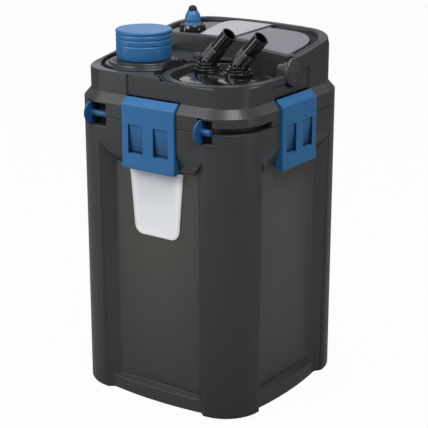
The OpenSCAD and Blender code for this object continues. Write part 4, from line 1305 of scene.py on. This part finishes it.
@dataclass
class Tank:
    """The canister with its feet and badge plate."""

    edge: float = 0.0008
    seam_z: float = 0.4185
    seam_inset: float = 0.0009
    # Radius of the black bead of painted shadow in the seam groove
    seam_shadow_r: float = 0.0005
    clamp_half: float = 0.0462
    slot_low_y: float = -0.0655
    left_knob_x: tuple[float, float] = (-0.115, -0.0762)
    right_knob_x: float = 0.0805
    badge_reach: float = 0.1332
    badge_low: float = 0.252
    badge_top: float = 0.346
    badge_halves: tuple[float, float] = (0.0375, 0.0457)
    badge_edge: float = 0.0004
    border_inset: float = 0.0022
    border_r: float = 0.0006
    border_corners: tuple[float, float] = (0.0120, 0.0008)
    front_y: float = -0.12
    step: float = 0.003
    outline: SkinOutline = field(default_factory=SkinOutline)

    def on_wall(self, x: float, y: float) -> bool:
        """Whether the parting line runs along solid wall at a point.

        Args:
            x: Position across.
            y: Position front to back.

        Returns:
            True where there is wall.
        """
        if min(abs(x), abs(y)) < self.clamp_half:
            return False
        if y < self.front_y and self.left_knob_x[0] < x < self.left_knob_x[1]:
            return False
        return not (x > self.right_knob_x and y < self.slot_low_y)

    def parting(self, kit: "Assembly", beads: BeadMaker) -> None:
        """Lays a black bead into the groove between tank and head: painted shadow that keeps the seam line
        dark.

        Args:
            kit: Frame and finishes.
            beads: Maker of the beads.
        """
        path = densified(self.outline.points(self.seam_inset), self.step)
        for k, run in enumerate(runs_of(path, self.on_wall)):
            line = [(x, y, self.seam_z) for x, y in run]
            bead = beads.bead(f"parting_joint_{k}", line, self.seam_shadow_r, False)
            kit.add(bead, "housing", "rubber")

    def badge_border(self, kit: "Assembly", beads: BeadMaker) -> None:
        """Adds the raised border of the bare badge plate.

        Args:
            kit: Frame and finishes.
            beads: Maker of the beads.
        """
        foot, top = self.badge_halves
        wide, sharp = self.border_corners
        inset = self.border_inset
        height = self.badge_top - self.badge_low
        right = [(foot - inset, inset), (top - inset, height)]
        left = [(-x, z) for x, z in reversed(right)]
        plan = rounded_outline(left + right, [sharp, wide, wide, sharp])
        line = [(x, -self.badge_reach, self.badge_low + z) for x, z in plan]
        kit.add(beads.bead("badge_border", line, self.border_r, True), "housing", "white")

    def build(self, kit: Assembly) -> None:
        """Builds the tank's pieces.

        Args:
            kit: Frame and finishes.
        """
        kit.soften("canister", kit.palette.tank, Softener(width=self.edge))
        kit.dress("feet", kit.palette.rubber)
        kit.soften("badge_plate", kit.palette.badge, Softener(width=self.badge_edge))
        # The black seam bead is painted shadow in the parting groove
        self.parting(kit, BeadMaker(kit.palette.rubber))
        self.badge_border(kit, BeadMaker(kit.palette.badge_edge))


@dataclass
class PumpHead:
    """Head moulding with its rim lips, cable gland, closing plate and gasket."""

    edge: float = 0.0007
    crown: CrownSurface = field(default_factory=CrownSurface)
    opening: float = 0.126
    front: float = 0.045
    ramp: tuple[float, float] = (0.036, 0.073)
    ramp_foot: float = 0.022
    low_front: float = 0.016
    back_r: float = 0.052
    ramp_r: float = 0.018
    left_r: float = 0.010
    right_r: float = 0.008
    lip_out: float = 0.0012
    lip_gap: float = 0.0026
    lip_r: float = 0.0007
    step: float = 0.004
    corner_steps: int = 10
    gland_edge: float = 0.0004

    def lips(self, kit: Assembly, beads: BeadMaker) -> None:
        """Adds the double lip along the inner edge of the top rim, painted a lighter grey than the shell as
        a painted highlight.

        Args:
            kit: Frame and finishes.
            beads: Maker of the lips.
        """
        for k, out in enumerate((self.lip_out, self.lip_out + self.lip_gap)):
            edge = self.opening + out
            turns = [
                (-edge, self.front - out, self.left_r + out),
                (self.ramp[0], self.front - out, self.ramp_r + out),
                (self.ramp[1], self.ramp_foot - out, self.ramp_r - out),
                (edge, self.low_front - out, self.right_r + out),
                (edge, edge, self.back_r + out),
                (-edge, edge, self.back_r + out),
            ]
            corners = [(x, y) for x, y, _r in turns]
            plan = rounded_outline(corners, [r for _x, _y, r in turns], self.corner_steps)
            line = [(x, y, self.crown.height(x, y)) for x, y in densified(plan, self.step)]
            kit.add(beads.bead(f"rim_lip_{k}", line, self.lip_r, True), "housing", "shell")

    def build(self, kit: Assembly) -> None:
        """Builds the head's pieces.

        Args:
            kit: Frame and finishes.
        """
        # The lips are modelled shape; their lighter grey is a painted highlight
        self.lips(kit, BeadMaker(kit.palette.lip))
        kit.soften("head_shell", kit.palette.head, Softener(width=self.edge))
        kit.soften("cable_gland", kit.palette.rubber, Softener(width=self.gland_edge))
        kit.dress("head_base", kit.palette.inner)
        kit.dress("head_gasket", kit.palette.rubber)


@dataclass
class Clamps:
    """The four clamps and their pins."""

    edge: float = 0.0004
    knob_edge: float = 0.0005
    sides: tuple[str, ...] = ("front", "right", "back", "left")
    knob_sides: tuple[str, ...] = ("right", "left")

    def build(self, kit: Assembly) -> None:
        """Builds the clamps.

        Args:
            kit: Frame and finishes.
        """
        for side in self.sides:
            kit.soften("clamp_" + side, kit.palette.clamp_blue, Softener(width=self.edge))
        kit.dress("clamp_pins", kit.palette.steel)
        for side in self.knob_sides:
            name = "release_knob_" + side
            # The release knobs get the darker blue as painted shade
            kit.soften(name, kit.palette.shaded_knob_blue, Softener(width=self.knob_edge))


@dataclass
class Prefilter:
    """Collar, knob, lid, core, foams and tube."""

    edge: float = 0.0007
    collar_edge: float = 0.0005

    def build(self, kit: Assembly) -> None:
        """Builds the prefilter.

        Args:
            kit: Frame and finishes.
        """
        kit.soften("prefilter_collar", kit.palette.collar, Softener(width=self.collar_edge))
        kit.soften("prefilter_knob", kit.palette.blue, Softener(width=self.edge, segments=3))
        for node in ("prefilter_lid", "prefilter_core", "prefilter_tube"):
            kit.dress(node, kit.palette.inner)
        kit.dress("prefilter_foams", kit.palette.foam)
        kit.dress("lid_seal", kit.palette.rubber)


@dataclass
class HoseUnit:
    """Adapter, its seals and the two elbows."""

    edge: float = 0.0005
    elbow_x: dict[str, float] = field(
        default_factory=lambda: {"elbow_inlet": 0.027, "elbow_outlet": 0.079}
    )
    elbow_y: float = -0.046
    bend_z: float = 0.4935
    lean: float = math.radians(42.0)
    tail_l: float = 0.055
    tail_r: float = 0.0108
    lip_r: float = 0.0006
    lip_sink: float = 0.0001

    def mouth(self, x: float, along: float, r: float, steps: int = 40) -> list[Point]:
        """Ring of points around a tail.

        Args:
            x: Position of the elbow.
            along: Distance from the bend.
            r: Radius of the ring.
            steps: Number of points.

        Returns:
            The points.
        """
        sin, cos = math.sin(self.lean), math.cos(self.lean)
        made = []
        for i in range(steps):
            a = math.tau * i / steps
            side, over = r * math.cos(a), r * math.sin(a)
            out, up = along * sin + side * cos, along * cos - side * sin
            made.append((x + out, self.elbow_y + over, self.bend_z + up))
        return made

    def build(self, kit: Assembly) -> None:
        """Builds the hose unit.

        Args:
            kit: Frame and finishes.
        """
        beads = BeadMaker(kit.palette.gloss_black)
        for node, x in self.elbow_x.items():
            line = self.mouth(x, self.tail_l - self.lip_r, self.tail_r - self.lip_sink)
            lip = beads.bead(node + "_lip", line, self.lip_r, True)
            kit.add(lip, kit.body_of(node), "gloss_black")
        for node in ("hose_adapter", "elbow_inlet", "elbow_outlet"):
            kit.soften(node, kit.palette.gloss_black, Softener(width=self.edge))
        kit.dress("adapter_seals", kit.palette.rubber)


@dataclass
class Lever:
    """Locking lever and its pivots."""

    edge: float = 0.0010

    def build(self, kit: Assembly) -> None:
        """Builds the lever.

        Args:
            kit: Frame and finishes.
        """
        kit.soften("locking_lever", kit.palette.shell, Softener(width=self.edge, segments=3))
        kit.dress("lever_pins", kit.palette.inner)


@dataclass
class Heater:
    """Heater boss, dial, gland and tube."""

    edge: float = 0.0004
    x: float = -0.081
    y: float = 0.068
    dial_low: float = 0.5154
    dial_r: float = 0.0120
    dial_edge: float = 0.0002
    ticks: int = 24
    tick_half: float = 0.00035
    tick_depths: tuple[float, float] = (0.0003, 0.00025)
    tick_heights: tuple[float, float] = (0.0018, 0.0052)
    tick_taper: float = 0.00005
    tick_edge: float = 0.0001

    def scale_marks(self, kit: Assembly, rings: RingMaker) -> None:
        """Adds the plain setting marks around the foot of the dial.

        Args:
            kit: Frame and finishes.
            rings: Maker of the ring of marks.
        """
        (sunk, proud), (foot, top) = self.tick_depths, self.tick_heights
        low = (self.dial_r - sunk, -self.tick_half, self.dial_low + foot)
        high = (self.dial_r + proud, self.tick_half, self.dial_low + top)
        mark = block_mesh("mark", low, high, self.tick_taper, self.tick_edge)
        ring = rings.ring("dial_marks", mark, self.ticks, self.x, self.y)
        kit.add(ring, "heater_dial", "white")

    def build(self, kit: Assembly) -> None:
        """Builds the heater.

        Args:
            kit: Frame and finishes.
        """
        self.scale_marks(kit, RingMaker(kit.palette.mark))
        kit.soften("heater_base", kit.palette.gloss_black, Softener(width=self.edge))
        kit.soften("heater_dial", kit.palette.blue, Softener(width=self.dial_edge))
        kit.soften("heater_gland", kit.palette.rubber, Softener(width=self.edge))
        kit.dress("heater_tube", kit.palette.glass)


@dataclass
class CrownedTop:
    """Covers of the crowned top."""

    edge: float = 0.0005
    rib_edge: float = 0.0003

    def build(self, kit: Assembly) -> None:
        """Builds the covers.

        Args:
            kit: Frame and finishes.
        """
        kit.soften("gloss_panel", kit.palette.pearl, Softener(width=self.edge))
        kit.soften("panel_rib", kit.palette.shell, Softener(width=self.rib_edge))
        kit.soften("priming_button", kit.palette.button, Softener(width=self.edge))
        kit.dress("priming_cylinder", kit.palette.inner)
        kit.dress("priming_spring", kit.palette.steel)


@dataclass
class Internals:
    """Pump, ducts and media inside the housing."""

    grey: tuple[str, ...] = (
        "motor_stator",
        "pump_casing",
        "impeller",
        "impeller_cover",
        "inlet_duct",
        "outlet_duct",
    )
    baskets: int = 4

    def build(self, kit: Assembly) -> None:
        """Dresses the inner pieces.

        Args:
            kit: Frame and finishes.
        """
        for node in self.grey:
            kit.dress(node, kit.palette.inner)
        kit.dress("impeller_shaft", kit.palette.badge)
        kit.dress("shaft_bushes", kit.palette.rubber)
        for i in range(1, self.baskets + 1):
            kit.dress(f"basket_{i}", kit.palette.inner)
            kit.dress(f"media_{i}", kit.palette.foam)


# --------------------------------------------------------------------------------------
# Studio
# --------------------------------------------------------------------------------------


@dataclass(frozen=True)
class Softbox:
    """Rectangular studio lamp."""

    name: str
    place: Point
    width: float
    height: float
    watts: float


SOFTBOXES = (
    Softbox("top_softbox", (-0.1, 0.3, 1.9), 1.4, 1.4, 14.0),
    Softbox("key_softbox", (-0.45, -1.35, 1.35), 0.9, 0.7, 12.0),
    Softbox("corner_softbox", (0.85, -0.55, 1.65), 0.8, 0.8, 13.5),
    Softbox("bevel_softbox", (-1.05, -0.80, 1.75), 0.8, 0.6, 2.8),
    Softbox("back_softbox", (-1.30, 1.90, 1.15), 1.6, 0.7, 2.5),
    Softbox("right_softbox", (1.2, 1.9, 1.5), 0.8, 0.6, 1.2),
    Softbox("right_strip", (1.9, 0.15, 0.70), 0.22, 1.1, 3.2),
    Softbox("left_strip", (-1.45, -1.45, 0.70), 0.26, 1.1, 5.0),
)


@dataclass
class Studio:
    """Camera, lamps, floor and surroundings."""

    eye: Point = (1.0971, -1.5626, 0.8689)
    right: Point = (0.820, 0.573, 0.0)
    back: Point = (0.545, -0.780, 0.308)
    lens: float = 113.24
    aim_z: float = 0.36
    floor_half: float = 8.0
    floor_shades: tuple[float, float] = (0.36, 0.39)
    floor_whiteness: float = 0.97
    sky_tint: tuple[float, float, float, float] = (0.9, 0.93, 1.0, 1.0)
    sky_strength: float = 0.20
    sensor: float = 36.0
    reach: float = 50.0

    def build(self) -> None:
        """Sets up everything around the object."""
        self._camera()
        for box in SOFTBOXES:
            self._lamp(box)
        self._floor()
        self._world()
        bpy.context.scene.view_settings.view_transform = "Standard"

    def _camera(self) -> None:
        """Places the camera."""
        data = bpy.data.cameras.new("view")
        data.lens = self.lens
        data.sensor_width = self.sensor
        data.sensor_fit = "HORIZONTAL"
        data.clip_end = self.reach
        camera = bpy.data.objects.new("view", data)
        back = Vector(self.back).normalized()
        right = Vector(self.right).normalized()
        right = (right - right.dot(back) * back).normalized()
        up = back.cross(right)
        camera.matrix_world = Matrix(
            (
                (right.x, up.x, back.x, self.eye[0]),
                (right.y, up.y, back.y, self.eye[1]),
                (right.z, up.z, back.z, self.eye[2]),
                (0, 0, 0, 1),
            )
        )
        bpy.context.scene.collection.objects.link(camera)
        bpy.context.scene.camera = camera

    def _lamp(self, box: Softbox) -> None:
        """Adds one softbox that faces the object.

        Args:
            box: The softbox.
        """
        data = bpy.data.lights.new(box.name, "AREA")
        data.shape = "RECTANGLE"
        data.size = box.width
        data.size_y = box.height
        data.energy = box.watts
        lamp = bpy.data.objects.new(box.name, data)
        aim = Vector((0.0, 0.0, self.aim_z)) - Vector(box.place)
        lamp.rotation_euler = aim.to_track_quat("-Z", "Y").to_euler()
        lamp.location = box.place
        lamp.visible_camera = False
        bpy.context.scene.collection.objects.link(lamp)

    def _floor(self) -> None:
        """Adds the pale floor."""
        h = self.floor_half
        mesh = bpy.data.meshes.new("floor")
        mesh.from_pydata([(-h, -h, 0), (h, -h, 0), (h, h, 0), (-h, h, 0)], [], [(0, 1, 2, 3)])
        floor = new_object("floor", mesh)
        graph = Graph("pale_floor")
        path = graph.node("ShaderNodeLightPath")
        direct = graph.signal(path.outputs["Is Camera Ray"])
        cloud = graph.noise(3.0, 2.0)
        low, high = self.floor_shades
        plain = graph.node(
            "ShaderNodeBsdfDiffuse",
            inputs={"Color": graph.mix(cloud, (low,) * 3, (high,) * 3)},
        )
        glow = graph.node("ShaderNodeEmission", inputs={"Color": (1, 1, 1, 1), "Strength": 1.0})
        mixed = graph.node(
            "ShaderNodeMixShader",
            inputs={0: direct * self.floor_whiteness, 1: plain.outputs[0], 2: glow.outputs[0]},
        )
        put_material(floor, graph.finish(mixed.outputs[0]))

    def _world(self) -> None:
        """Sets the surroundings: white to the camera, soft grey as light."""
        world = bpy.data.worlds.new("studio")
        bpy.context.scene.world = world
        world.use_nodes = True
        world.node_tree.nodes.clear()
        maker = NodeBuilder(world.node_tree)
        seen = maker.node("ShaderNodeLightPath").outputs["Is Camera Ray"]
        plain = maker.node(
            "ShaderNodeBackground", inputs={"Color": self.sky_tint, "Strength": self.sky_strength}
        )
        white = maker.node(
            "ShaderNodeBackground", inputs={"Color": (1.0, 1.0, 1.0, 1.0), "Strength": 1.0}
        )
        mixed = maker.node(
            "ShaderNodeMixShader", inputs={0: seen, 1: plain.outputs[0], 2: white.outputs[0]}
        )
        maker.node("ShaderNodeOutputWorld", inputs={"Surface": mixed.outputs[0]})


def corners(bounds: Sequence[Sequence[float]]) -> list[list[float]]:
    """Plain lists of a bounding box's two corners.

    Args:
        bounds: Lowest and highest corner.

    Returns:
        The corners as plain lists.
    """
    return [[float(v) for v in corner] for corner in bounds]


def main() -> None:
    """Builds the dressed filter and its studio."""
    logging.basicConfig(level=logging.INFO, format="%(name)s: %(message)s")
    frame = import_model()
    Studio().build()
    palette = Palette()
    steps: list[tuple[str, Callable[[Assembly], None]]] = [
        ("tank", Tank().build),
        ("head", PumpHead().build),
        ("clamps", Clamps().build),
        ("prefilter", Prefilter().build),
        ("hose unit", HoseUnit().build),
        ("lever", Lever().build),
        ("heater", Heater().build),
        ("crowned top", CrownedTop().build),
        ("internals", Internals().build),
    ]
    for title, build in steps:
        kit = Assembly(frame, palette)
        build(kit)
        LOG.info("%s: %s", title, ", ".join(kit.pieces))


if __name__ == "__main__":
    main()
